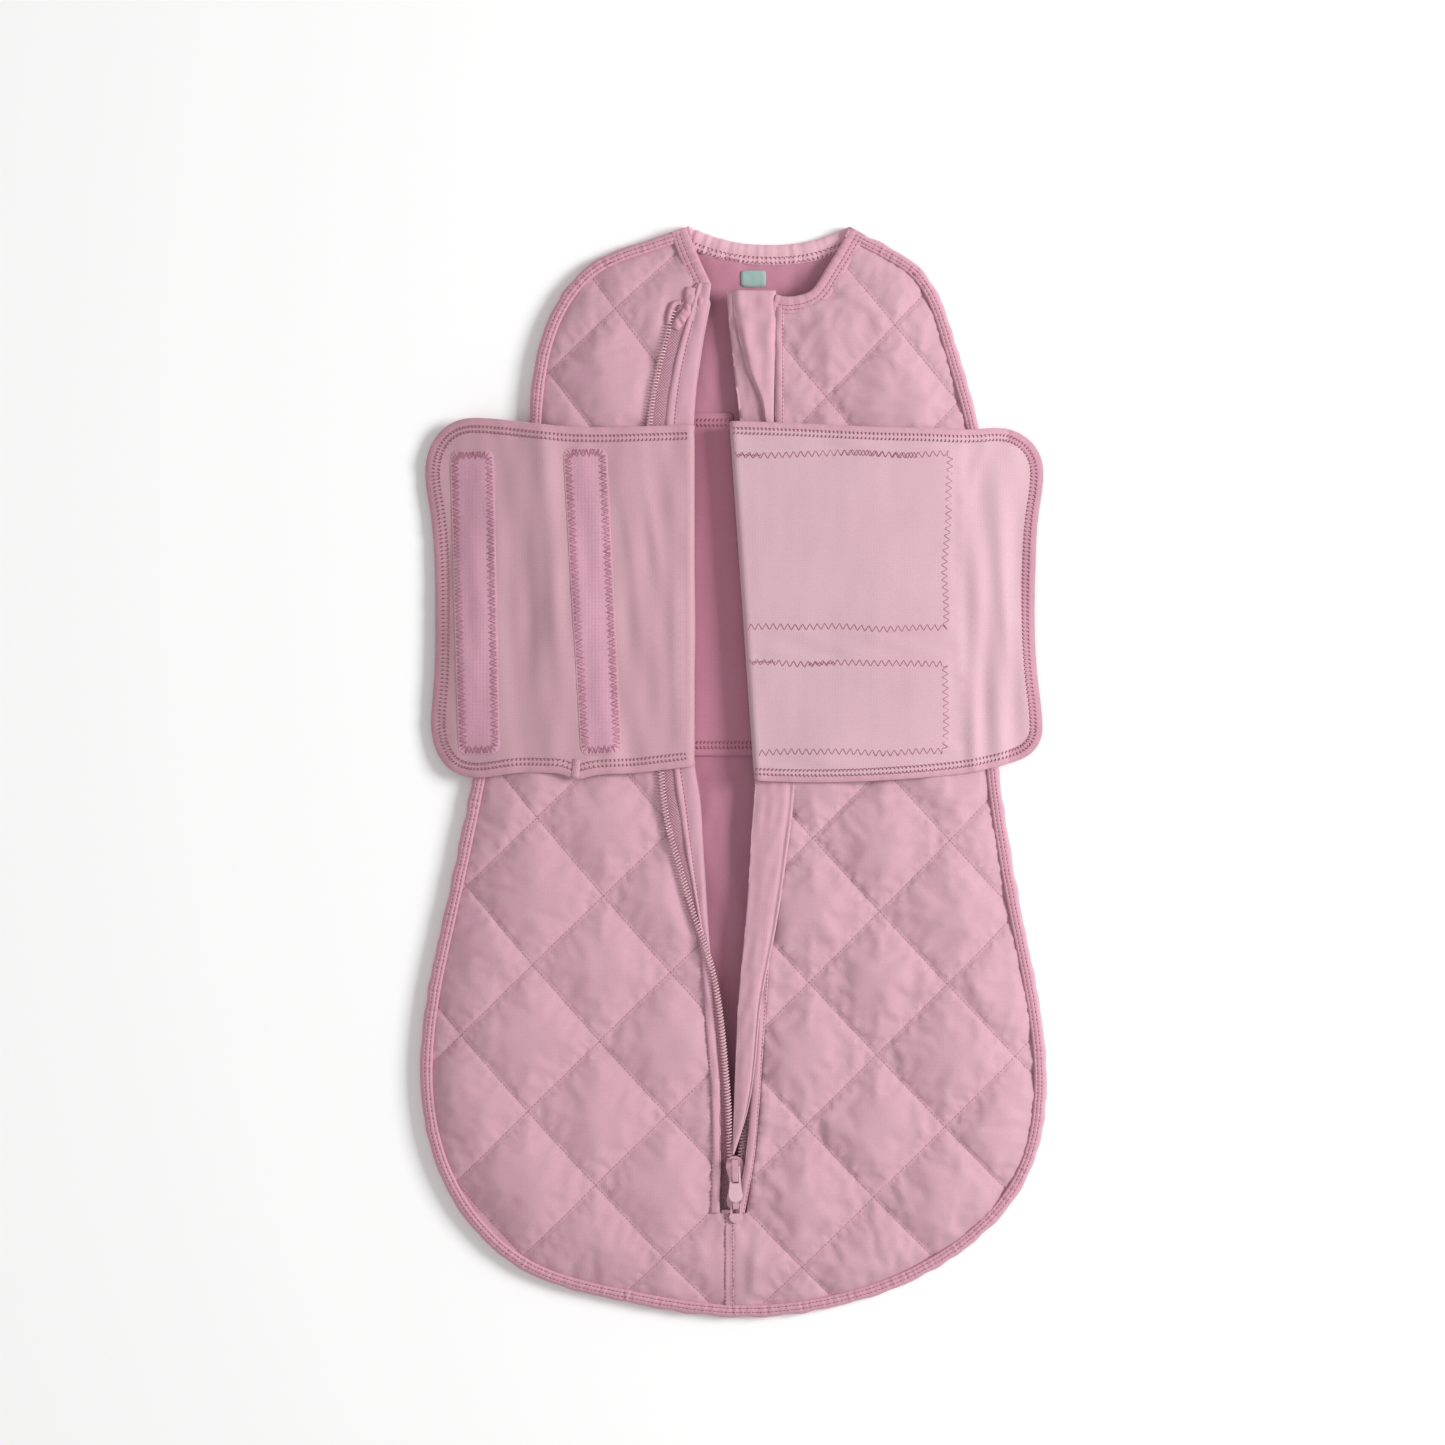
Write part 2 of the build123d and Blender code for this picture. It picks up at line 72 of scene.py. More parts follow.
LEFT_EDGE = [
    (-9.0, -283), (-9.0, -200), (-13.0, -150), (-17.3, -90), (-20.5, -37), (-25.5, 2),
    (-26.1, 223), (-24.0, 248), (-19.5, 278), (-15.0, 301), (-14.4, 315),
]
RIGHT_EDGE = [
    (8.6, -283), (16.7, -216), (20.0, -100), (22.0, 0), (24.0, 110), (25.0, 238), (27.0, 306),
]


# ---------------------------------------------------------------- lines and heights
def run_along(line):
    """How far along a line each of its points is."""
    return np.concatenate([[0], np.cumsum(np.linalg.norm(np.diff(line, axis=0), axis=1))])


def unit(vectors):
    """The same vectors, 1 long."""
    return vectors / (np.linalg.norm(vectors, axis=1)[:, None] + 1e-12)


def closed(polygon):
    """A polygon with its first point again at its end."""
    return np.concatenate([polygon, polygon[:1]])


def smooth_line(points, step):
    """Evenly spaced points on the smooth curve through a few given ones."""
    p = np.array(points, float)
    t = run_along(p)
    n = len(t)
    h = np.diff(t)
    lhs, rhs = np.eye(n), np.zeros_like(p)
    for i in range(1, n - 1):
        lhs[i, i - 1:i + 2] = h[i - 1], 2 * (h[i - 1] + h[i]), h[i]
        rhs[i] = 6 * ((p[i + 1] - p[i]) / h[i] - (p[i] - p[i - 1]) / h[i - 1])
    bend = np.linalg.solve(lhs, rhs)
    s = np.linspace(0, t[-1], max(int(t[-1] / step) * 3, 12))
    k = np.clip(np.searchsorted(t, s, side="right") - 1, 0, n - 2)
    a, b, w = (t[k + 1] - s)[:, None], (s - t[k])[:, None], h[k][:, None]
    dense = (bend[k] * a**3 + bend[k + 1] * b**3) / (6 * w)
    dense += (p[k] / w - bend[k] * w / 6) * a + (p[k + 1] / w - bend[k + 1] * w / 6) * b
    return even(dense, step)


def even(line, step):
    """The same line with points a step apart."""
    line = np.asarray(line, float)
    s = run_along(line)
    at = np.linspace(0, s[-1], max(int(round(s[-1] / step)), 1) + 1)
    return np.stack([np.interp(at, s, line[:, i]) for i in range(line.shape[1])], axis=1)


def left_of(line):
    """The unit normals to the left of a flat line's direction."""
    along = unit(np.gradient(line[:, :2], axis=0))
    return np.stack([-along[:, 1], along[:, 0]], axis=1)


def beside(line, across):
    """A flat line moved to its left."""
    return line[:, :2] + left_of(line) * across


def nearest(points, line):
    """How far each point is from a line of closely spaced points."""
    points, line = np.asarray(points, float), np.asarray(line, float)
    found = np.empty(len(points))
    for i in range(0, len(points), 2000):
        gap = points[i:i + 2000, None, :] - line[None]
        found[i:i + 2000] = np.sqrt((gap * gap).sum(axis=2).min(axis=1))
    return found


def inside(points, polygon):
    """Whether each point is inside a closed polygon."""
    x, y = points[:, 0], points[:, 1]
    result = np.zeros(len(points), bool)
    for (x0, y0), (x1, y1) in zip(polygon, np.roll(polygon, -1, axis=0)):
        crosses = (y0 > y) != (y1 > y)
        if y1 != y0:
            result ^= crosses & (x < (x1 - x0) * (y - y0) / (y1 - y0) + x0)
    return result


WAVES = 14


def waves(x, y, seed, length_x, length_y):
    """A smooth random field about 1 high, from a sum of plane waves."""
    rng = np.random.default_rng(seed)
    total = np.zeros(np.shape(x))
    for _ in range(WAVES):
        turn, share, phase = rng.uniform(0, 2 * np.pi), rng.uniform(0.6, 1.4), rng.uniform(0, 2 * np.pi)
        place = x * np.cos(turn) / length_x + y * np.sin(turn) / length_y
        total += np.sin(2 * np.pi * share * place + phase)
    return total / math.sqrt(WAVES / 2)


def evened(values, reach):
    """A row of values, each averaged with its neighbours within reach."""
    whole = 2 * reach + 1
    return np.convolve(np.pad(values, reach, mode="edge"), np.ones(whole) / whole, mode="valid")


def ease(t):
    """From 0 to 1 with level ends."""
    t = np.clip(t, 0, 1)
    return t * t * (3 - 2 * t)


def bumps(value, place, width):
    """A rounded bump 1 high at a place."""
    return np.exp(-((value - place) / width) ** 2)


side_line = smooth_line(SIDE_EDGE, 1.0)
neck_line = smooth_line(NECK_ARC, 1.0)
bag_edge = np.concatenate([side_line, neck_line])[::2]


def front_height(xy):
    """The height of the front before it is quilted: low at the binding, level over the pocket."""
    rise = np.clip((nearest(xy, bag_edge) - BINDING) / (CROWN_INSET - BINDING), 0, 1)
    return RIM_TOP + (CROWN_TOP - RIM_TOP) * np.sin(rise * np.pi / 2)


# ---------------------------------------------------------------- materials
SHADE, LIGHT = 0.80, 1.10    # how far a cloth's darkest and lightest yarns are from its colour


def nodes_of(name):
    """A new material, its nodes and its shader."""
    material = bpy.data.materials.new(name)
    material.use_nodes = True
    tree = material.node_tree
    return material, tree, tree.nodes["Principled BSDF"]


def node(tree, kind, inputs=None, **settings):
    """A new node, with its inputs set or linked."""
    made = tree.nodes.new(kind)
    for key, value in settings.items():
        setattr(made, key, value)
    for key, value in (inputs or {}).items():
        if isinstance(value, bpy.types.NodeSocket):
            tree.links.new(value, made.inputs[key])
        else:
            made.inputs[key].default_value = value
    return made


def maths(tree, operation, *values):
    """The result of a sum on numbers or sockets."""
    return node(tree, "ShaderNodeMath", dict(enumerate(values)), operation=operation).outputs[0]


def bands(tree, place, direction, period):
    """Stripes across one axis, one every period in metres."""
    return node(tree, "ShaderNodeTexWave", {"Vector": place, "Scale": math.pi / 10 / period},
                bands_direction=direction, wave_profile="SIN").outputs["Fac"]


def noise(tree, place, scale, detail):
    """Soft random blotches."""
    inputs = {"Vector": place, "Scale": scale, "Detail": detail}
    return node(tree, "ShaderNodeTexNoise", inputs).outputs["Fac"]


def coloured(tree, shader, value, low, high, dark, bright):
    """A shader's colour, from dark to bright as a value goes from low to high."""
    ramp = node(tree, "ShaderNodeValToRGB", {"Fac": value})
    stops = ramp.color_ramp.elements
    stops[0].position, stops[1].position = low, high
    stops[0].color, stops[1].color = (*dark, 1), (*bright, 1)
    tree.links.new(ramp.outputs["Color"], shader.inputs["Base Color"])


def raised(tree, shader, height, distance, strength):
    """A shader's relief."""
    bump = node(tree, "ShaderNodeBump", {"Height": height, "Distance": distance, "Strength": strength})
    tree.links.new(bump.outputs["Normal"], shader.inputs["Normal"])


def fabric(name, colour, weave=0.0011, relief=0.00010, mottle=0.10, fleck=0.10, sheen=0.25, kind="knit"):
    """Cloth: a weave or knit in relief, flecks of yarn, soft blotches and a little sheen."""
    material, tree, shader = nodes_of(name)
    place = node(tree, "ShaderNodeTexCoord").outputs["Object"]
    if kind == "herringbone":
        x_part = node(tree, "ShaderNodeSeparateXYZ", {"Vector": place}).outputs
        fold = maths(tree, "PINGPONG", x_part["X"], weave * 2.2)
        slant = maths(tree, "MULTIPLY_ADD", fold, 1.0, x_part["Y"])
        height = maths(tree, "MULTIPLY_ADD",
                       maths(tree, "SINE", maths(tree, "MULTIPLY", slant, 2 * math.pi / weave)), 0.5, 0.5)
    else:
        across = bands(tree, place, "X", weave)
        along = bands(tree, place, "Y", weave * (0.8 if kind == "knit" else 1.0))
        height = maths(tree, "MULTIPLY" if kind == "knit" else "MAXIMUM", across, along)
    yarn = noise(tree, place, 900.0, 3.0)
    blotch = noise(tree, place, 26.0, 4.0)
    tone = maths(tree, "MULTIPLY_ADD", height, fleck, 0.5 - fleck / 2)
    tone = maths(tree, "MULTIPLY_ADD", maths(tree, "SUBTRACT", yarn, 0.5), fleck * 2.2, tone)
    tone = maths(tree, "MULTIPLY_ADD", maths(tree, "SUBTRACT", blotch, 0.5), mottle * 2.0, tone)
    dark = [c * SHADE**power for c, power in zip(colour, (1, 1.35, 1.2))]
    coloured(tree, shader, tone, 0.25, 0.75, dark, [min(c * LIGHT, 1) for c in colour])
    raised(tree, shader, maths(tree, "MULTIPLY_ADD", yarn, 0.7, height), relief, 0.55)
    for key, value in (("Roughness", 0.88), ("Sheen Weight", sheen), ("Sheen Roughness", 0.45),
                       ("Sheen Tint", (1.0, 0.86, 0.90, 1)), ("Specular IOR Level", 0.25)):
        shader.inputs[key].default_value = value
    return material


def enamel(name, colour, rough=0.32):
    """Painted zinc or moulded nylon: slightly uneven gloss with fine pits."""
    material, tree, shader = nodes_of(name)
    place = node(tree, "ShaderNodeTexCoord").outputs["Object"]
    grain, cloud = noise(tree, place, 700.0, 4.0), noise(tree, place, 120.0, 2.0)
    coloured(tree, shader, cloud, 0.3, 0.7, [c * 0.90 for c in colour], [min(c * 1.06, 1) for c in colour])
    tree.links.new(maths(tree, "MULTIPLY_ADD", grain, 0.25, rough - 0.1), shader.inputs["Roughness"])
    raised(tree, shader, grain, 0.00004, 0.4)
    shader.inputs["Coat Weight"].default_value = 0.25
    return material


quilt_left = fabric("quilted_cotton_left", (0.618, 0.366, 0.438))
quilt_right = fabric("quilted_cotton_right", (0.614, 0.370, 0.438))
quilt_back = fabric("quilted_cotton_back", (0.600, 0.345, 0.420))
# The lining's colour is darker than the front's cloth, though it is the same cotton: painted shade for the
# deep opening. The back's inner side and the belt's middle use it.
lining = fabric("lining_cotton", (0.530, 0.240, 0.325), mottle=0.06)
bound = fabric("binding_jersey", (0.620, 0.340, 0.415), weave=0.0009, mottle=0.08)
# The back neck's binding is the same jersey as the other bindings, given a lighter colour: painted light
# against the shade it lies in.
neck_binding_painted_light = fabric("neck_binding", (0.750, 0.460, 0.530), weave=0.0009, mottle=0.08)
facing_cloth = fabric("facing_cotton", (0.600, 0.345, 0.420), mottle=0.08)
flap_cloth = fabric("flap_cotton", (0.645, 0.375, 0.452), mottle=0.12)
# Both wings are one knit: the left one has a darker colour and the right one a lighter colour, painted shade
# and painted light for the key light from the right.
wing_left_knit_painted_shade = fabric("wing_knit_left_painted_shade", (0.565, 0.342, 0.395), weave=0.0010, kind="plain", sheen=0.35)
wing_right_knit_painted_light = fabric("wing_knit_right_painted_light", (0.632, 0.418, 0.470), weave=0.0010, kind="plain", sheen=0.35)
hook_cloth = fabric("hook_tape", (0.635, 0.345, 0.440), weave=0.0009, relief=0.0003, kind="plain",
                    fleck=0.12, sheen=0.4)
tape_cloth = fabric("zipper_tape", (0.510, 0.275, 0.342), weave=0.0018, relief=0.0006, kind="herringbone",
                    fleck=0.5, sheen=0.1)
thread_pink = fabric("sewing_thread", (0.360, 0.130, 0.188), weave=0.0004, relief=0.00004, sheen=0.2,
                     mottle=0.2)
thread_soft = fabric("quilting_thread", (0.440, 0.200, 0.265), weave=0.0004, relief=0.00004, sheen=0.2)
nylon = enamel("coil_nylon", (0.740, 0.460, 0.530), 0.38)
slider_paint = enamel("slider_enamel", (0.560, 0.300, 0.375))
pull_paint = enamel("pull_enamel", (0.690, 0.430, 0.510))
pull_paint_low = enamel("lower_pull_enamel", (0.600, 0.340, 0.420))
label_cloth = fabric("neck_label", (0.330, 0.480, 0.450), weave=0.0006, kind="plain")
snap_resin = enamel("snap_resin", (0.640, 0.420, 0.480))


# ---------------------------------------------------------------- meshes
def add_mesh(name, points, faces, material, body="root"):
    """A smooth mesh in metres from points in millimetres, riding on a body."""
    mesh = bpy.data.meshes.new(name)
    mesh.from_pydata((np.asarray(points, float) * MM).tolist(), [], [tuple(map(int, f)) for f in faces])
    mesh.materials.append(material)
    mesh.polygons.foreach_set("use_smooth", [True] * len(mesh.polygons))
    mesh.update()
    piece = bpy.data.objects.new(name, mesh)
    scene.collection.objects.link(piece)
    if body:
        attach(piece, body)
    return piece


def tube(rings):
    """The points and faces of a skin over rings of points, with its two ends closed."""
    rings = np.asarray(rings, float)
    n, m = rings.shape[:2]
    i = np.arange(n - 1)[:, None] * m
    j = np.arange(m)[None]
    k = (j + 1) % m
    faces = np.stack([i + j, i + k, i + m + k, i + m + j], axis=2).reshape(-1, 4).tolist()
    faces += [list(range(m))[::-1], list(range((n - 1) * m, n * m))]
    return rings.reshape(-1, 3), faces


def outward(points, faces):
    """Faces turned so that the closed skin's volume is positive."""
    volume = 0.0
    for f in faces:
        a = points[f[0]]
        for b, c in zip(f[1:-1], f[2:]):
            volume += np.dot(a, np.cross(points[b], points[c]))
    return faces if volume > 0 else [list(f)[::-1] for f in faces]


def skinned(name, skin, material, body="root"):
    """A mesh from a closed skin, turned outwards."""
    points, faces = skin
    return add_mesh(name, points, outward(points, faces), material, body)


def layered(xy, top, bottom):
    """A closed skin over rows of flat points, with its top's and its bottom's heights."""
    upper = np.concatenate([xy, top[..., None]], axis=2)
    lower = np.concatenate([xy, bottom[..., None]], axis=2)
    return tube(np.concatenate([upper, lower[:, ::-1]], axis=1))


def between(left, right, across):
    """Rows of flat points from one line to another."""
    return left[:, None] * (1 - across)[None, :, None] + right[:, None] * across[None, :, None]


def swept(name, line, profile, material, wobble, height=0.0):
    """A closed profile of (across, up) carried along a flat line; across is to the line's left."""
    profile = np.asarray(profile, float)
    normal = left_of(line)
    height = np.broadcast_to(np.asarray(height, float), (len(line),))
    across = np.broadcast_to(profile[None, :, 0], (len(line), len(profile))).copy()
    up = height[:, None] + profile[None, :, 1]
    across, up = wobble(across, up)
    rings = np.empty((len(line), len(profile), 3))
    rings[..., :2] = line[:, None, :2] + normal[:, None] * across[..., None]
    rings[..., 2] = up
    return skinned(name, tube(rings), material)


class Apart:
    """Points kept at least some distance from each other, found again by square cells."""

    CELL = 3.0

    def __init__(self):
        self.cells, self.points, self.tags = {}, [], []

    def add(self, points, clear, tag):
        for x, y in points:
            i, j = int(x // self.CELL), int(y // self.CELL)
            near = (q for a in (i - 1, i, i + 1) for b in (j - 1, j, j + 1)
                    for q in self.cells.get((a, b), ()))
            if all((x - qx) ** 2 + (y - qy) ** 2 >= clear * clear for qx, qy in near):
                self.cells.setdefault((i, j), []).append((x, y))
                self.points.append((x, y))
                self.tags.append(tag)


def fill_in(polygon, seams, spacing, rows=(1.8, 4.0)):
    """Triangles over a flat shape, fine beside its seams. Returns points, triangles and tags:
    0 on the rim, 1 on a seam, 2 elsewhere."""
    rim = even(closed(polygon), 2.2)[:-1]
    apart = Apart()
    apart.add(rim, 0.9, 0)
    for line in seams:
        apart.add(line[nearest(line, rim) > 1.3], 1.1, 1)
    for line in seams:
        for row in rows:
            for across in (row, -row):
                beside_it = beside(line, across)
                good = inside(beside_it, polygon) & (nearest(beside_it, rim) > 1.3)
                apart.add(beside_it[good], 1.5, 2)
    low, high = polygon.min(axis=0), polygon.max(axis=0)
    grid = []
    for r, y in enumerate(np.arange(low[1], high[1], spacing * 0.866)):
        grid += [(x, y) for x in np.arange(low[0] + (r % 2) * spacing / 2, high[0], spacing)]
    grid = np.array(grid)
    grid = grid[inside(grid, polygon)]
    grid = grid[nearest(grid, rim) > 1.6]
    apart.add(grid, spacing * 0.74, 2)
    found = delaunay_2d_cdt([Vector(p) for p in apart.points], [], [], 0, 1e-5)
    points = np.array([tuple(p) for p in found[0]])
    tags = np.array([apart.tags[o[0]] if o else 2 for o in found[3]])
    triangles = np.array([tuple(f) for f in found[2]])
    triangles = triangles[inside(points[triangles].mean(axis=1), polygon)]
    a, b, c = (points[triangles[:, i]] for i in range(3))
    turn = (b[:, 0] - a[:, 0]) * (c[:, 1] - a[:, 1]) - (b[:, 1] - a[:, 1]) * (c[:, 0] - a[:, 0])
    triangles[turn < 0] = triangles[turn < 0][:, ::-1]
    triangles = triangles[np.abs(turn) > 1e-4]
    return points, triangles, tags


def rim_edges(triangles):
    """The edges used once, each in its triangle's own direction."""
    edges = np.concatenate([triangles[:, [0, 1]], triangles[:, [1, 2]], triangles[:, [2, 0]]])
    _, index, count = np.unique(np.sort(edges, axis=1), axis=0, return_index=True, return_counts=True)
    return edges[index[count == 1]]


def two_skins(top, under, triangles, bulge):
    """A closed skin from the same triangles at two heights, with a rounded wall round its rim."""
    n = len(top)
    edges = rim_edges(triangles)
    used = np.unique(edges)
    middle = {int(v): 2 * n + i for i, v in enumerate(used)}
    out = np.zeros((n, 2))
    along = top[edges[:, 1], :2] - top[edges[:, 0], :2]
    normal = np.stack([along[:, 1], -along[:, 0]], axis=1)
    np.add.at(out, edges[:, 0], normal)
    np.add.at(out, edges[:, 1], normal)
    mid = (top[used] + under[used]) / 2
    mid[:, :2] += unit(out)[used] * bulge
    faces = triangles.tolist() + (triangles[:, ::-1] + n).tolist()
    for a, b in edges.tolist():
        faces.append([b, a, middle[a], middle[b]])
        faces.append([middle[b], middle[a], a + n, b + n])
    return np.concatenate([top, under, mid]), faces


def surface_of(piece):
    """A tree for finding a finished piece's own surface."""
    return BVHTree.FromObject(piece, bpy.context.evaluated_depsgraph_get())


def heights_on(tree, xy, otherwise=0.0):
    """The height of a surface over each point, and the surface's normal there."""
    z, normal = np.empty(len(xy)), np.zeros((len(xy), 3))
    for i, (x, y) in enumerate(xy):
        hit, up, _, _ = tree.ray_cast(Vector((x * MM, y * MM, 0.09)), Vector((0, 0, -1)))
        z[i] = hit.z / MM if hit else otherwise
        normal[i] = up if hit else (0, 0, 1)
    return z, normal


# A stitch's rings: their places along it, and their size and lift in radii.
RING_AT = np.array([0.0, 0.16, 0.84, 1.0])
RING_SIZE = np.array([0.45, 1.0, 1.0, 0.45])
RING_LIFT = np.array([-0.7, 0.55, 0.55, -0.7])
SIDES = 5
STITCH = 2.6    # from one stitch of a row to the next


def threads(name, starts, ends, ups, radius, material, body="root"):
    """Stitches: short lengths of thread that rise out of the cloth and dip back into it."""
    starts, ends, ups = (np.asarray(v, float) for v in (starts, ends, ups))
    along = unit(ends - starts)
    side = unit(np.cross(along, ups))
    up = np.cross(side, along)
    angle = np.arange(SIDES) * 2 * np.pi / SIDES
    centre = starts[:, None] + (ends - starts)[:, None] * RING_AT[None, :, None]
    centre = centre + up[:, None] * (RING_LIFT * radius)[None, :, None]
    round_it = side[:, None] * np.cos(angle)[None, :, None] + up[:, None] * np.sin(angle)[None, :, None]
    points = centre[:, :, None] + round_it[:, None] * (RING_SIZE * radius)[None, :, None, None]
    _, one = tube(points[0])
    size = len(RING_AT) * SIDES
    faces = [[k * size + v for v in (f[0], *f[:0:-1])] for k in range(len(starts)) for f in one]
    return add_mesh(name, points.reshape(-1, 3), faces, material, body)


def dashes(line, pitch, share=0.78):
    """The ends of running stitches along a line."""
    at = even(line, pitch)
    return at[:-1], at[:-1] + (at[1:] - at[:-1]) * share


def on_surface(tree, pairs, raise_by):
    """Flat stitch ends put on a surface: starts, ends and normals."""
    starts, ends = (np.concatenate(v) for v in zip(*pairs))
    z0, up = heights_on(tree, starts)
    z1, _ = heights_on(tree, ends)
    keep = (z0 > 0.5) & (z1 > 0.5) & (np.abs(z0 - z1) < 2.5)
    starts = np.column_stack([starts, z0 + raise_by])[keep]
    ends = np.column_stack([ends, z1 + raise_by])[keep]
    return starts, ends, up[keep]


def stitched(name, on, pairs, raise_by, radius, material=thread_pink, body="root"):
    """Stitches laid on a finished piece, or on the tree of one."""
    tree = on if isinstance(on, BVHTree) else surface_of(on)
    starts, ends, up = on_surface(tree, pairs, raise_by)
    return threads(name, starts, ends, up, radius, material, body)


def rungs(line, near, far, pitch, slant):
    """The ends of cross threads between two lines beside a line, leaning forward."""
    at = even(line, pitch)
    normal = left_of(at)
    along = np.stack([normal[:, 1], -normal[:, 0]], axis=1)
    return at + normal * near, at + normal * far + along * slant


def ladder(line, near, far, pitch):
    """A cover stitch: two needle rows, each with short threads across it."""
    third = 0.36 * (far - near)
    return [rungs(line, near - 0.1, near + third, pitch, 0.2),
            rungs(line, far - third, far + 0.1, pitch, 0.2),
            dashes(beside(line, near), pitch, 0.5), dashes(beside(line, far), pitch, 0.5)]


def zigzag(line, width, pitch):
    """The ends of a zigzag's threads along a line."""
    at = even(line, pitch / 2)
    swing = np.where(np.arange(len(at)) % 2, 0.5, -0.5)[:, None] * width
    at = at + left_of(at) * swing
    return at[:-1], at[1:]


# ---------------------------------------------------------------- the quilted fronts
def diamond_seams(place, step):
    """The quilting lines of a lattice whose crossings are at place(m, n), m + n even."""
    seams = []
    run = np.linspace(-14, 14, 900)
    for i in range(-14, 15):
        for m, n in ((i + run, i - run), (i + run, run - i)):
            x, y = place(m, n)
            good = (np.abs(x) < 215) & (np.abs(y) < 365)
            if good.sum() > 20:
                seams.append(even(np.stack([x[good], y[good]], axis=1), step))
    return seams


def left_lattice(m, n):
    """Where the left front's quilting lines cross."""
    return (-85.6 + 44.35 * m + 1.27 * n - 0.27 * m * n - 0.025 * n * n,
            -172.3 - 1.8 * m + 46.35 * n - 0.62 * m * n + 0.057 * n * n)


def right_lattice(m, n):
    """Where the right front's quilting lines cross."""
    return (91.9 + 44.5 * m + 0.92 * n - 0.23 * m * n + 0.024 * n * n,
            -181.3 - 0.45 * m + 45.75 * n - 0.08 * m * n + 0.104 * n * n)


UNDER_BINDING = 6.8
tucked_line = beside(side_line, UNDER_BINDING)
foot = np.argmin(np.abs(tucked_line[:, 0] - SEAM_X) + 1000 * (tucked_line[:, 1] > 0))
left_side = tucked_line[:foot]
left_side = left_side[(left_side[:, 0] < -38) | (left_side[:, 1] < 0)]
right_side = tucked_line[foot + 1:]
right_side = right_side[(right_side[:, 0] > 84) | (right_side[:, 1] < 300)]
left_panel = np.array([
    (-22.5, 313), (-34, 343.5), *left_side.tolist(), (SEAM_X, left_side[-1, 1]),
    (SEAM_X, ZIP_END_Y), *LEFT_EDGE[:-1],
])
right_panel = np.array([
    (SEAM_X + 0.1, right_side[0, 1]), *right_side.tolist(), (79.5, 342), (56, 305), (37.2, 297),
    (27, 299.5), *[p for p in RIGHT_EDGE[::-1] if p[1] < 298], (SEAM_X + 0.1, ZIP_END_Y),
])


def clipped(seams, polygon, clear):
    """The stretches of the seams that are inside a panel."""
    rim = even(closed(polygon), 2.0)
    kept = []
    for line in seams:
        good = inside(line, polygon) & (nearest(line, rim) > clear)
        cuts = np.flatnonzero(np.diff(good.astype(int))) + 1
        for run in np.split(np.arange(len(line)), cuts):
            if good[run[0]] and len(run) > 4:
                kept.append(line[run])
    return kept


FRAMES = 22
FARTHEST = 6.0    # how far the filling may move the cloth


def settle(name, points, triangles, held, spare):
    """Cloth, held along its seams, blown up by its filling; spare is the share it is cut larger."""
    mesh = bpy.data.meshes.new(name)
    mesh.from_pydata((points * MM).tolist(), [], triangles.tolist())
    cloth_object = bpy.data.objects.new(name, mesh)
    scene.collection.objects.link(cloth_object)
    group = cloth_object.vertex_groups.new(name="held")
    group.add(np.flatnonzero(held).tolist(), 1.0, "REPLACE")
    cloth = cloth_object.modifiers.new("Cloth", "CLOTH")
    wanted = dict(quality=5, mass=0.12, tension_stiffness=10, compression_stiffness=10, shear_stiffness=5,
                  bending_stiffness=0.015, tension_damping=2, compression_damping=2, shear_damping=2,
                  air_damping=1, use_pressure=True, uniform_pressure_force=30.0, vertex_group_mass="held",
                  shrink_min=-spare)
    for key, value in wanted.items():
        setattr(cloth.settings, key, value)
    cloth.settings.effector_weights.gravity = 0
    cloth.collision_settings.use_collision = False
    cloth.point_cache.frame_start, cloth.point_cache.frame_end = 1, FRAMES
    for f in range(1, FRAMES + 1):
        scene.frame_set(f)
    solved = cloth_object.evaluated_get(bpy.context.evaluated_depsgraph_get()).to_mesh()
    result = np.empty(len(points) * 3)
    solved.vertices.foreach_get("co", result)
    result = result.reshape(-1, 3) / MM
    scene.frame_set(1)
    bpy.data.objects.remove(cloth_object)
    move = result - points
    size = np.linalg.norm(move, axis=1)[:, None]
    return points + move * np.minimum(1, FARTHEST / (size + 1e-9))


SEAM_DIP = 2.3
THICKEST = 5.0               # how far a front's underside is below the plain front
FULLEST = 4.8                # how far a pillow may rise over the plain front
UNDER_WING = 3.4             # and where a wing lies on it
STRIP_Y = [-283, -250, -204, -157, -116, -90, -62, -37, 2, 223, 248, 276, 297, 350]
LEFT_STRIP_X = [-14.6, -14.6, -14.6, -18.0, -23.5, -31, -39, -46, -52, -59, -56, -48.5, -42, -38]
STRIP_CLEAR = 1.2            # the panel stays low this far past a strip's edge
RIGHT_STRIP_X = [7.0, 13.0, 17.3, 20.6, 23.4, 25.0, 26.2, 27.4, 29.0, 32.3, 32.3, 32.3, 33.0, 33.0]


def pressed(xy, side, from_rim):
    """The most that a pillow rises over the plain front: little beside the bindings and strips."""
    strip = np.interp(xy[:, 1], STRIP_Y, LEFT_STRIP_X if side < 0 else RIGHT_STRIP_X)
    beyond = np.maximum(side * (xy[:, 0] - strip) - STRIP_CLEAR, 0)
    covered = ease((xy[:, 1] + 14) / 12) * ease((236 - xy[:, 1]) / 12)
    fullest = FULLEST - (FULLEST - UNDER_WING) * covered
    return fullest * (1 - np.exp(-np.minimum(0.45 * beyond, 0.25 + 0.8 * from_rim) / fullest * 1.6))


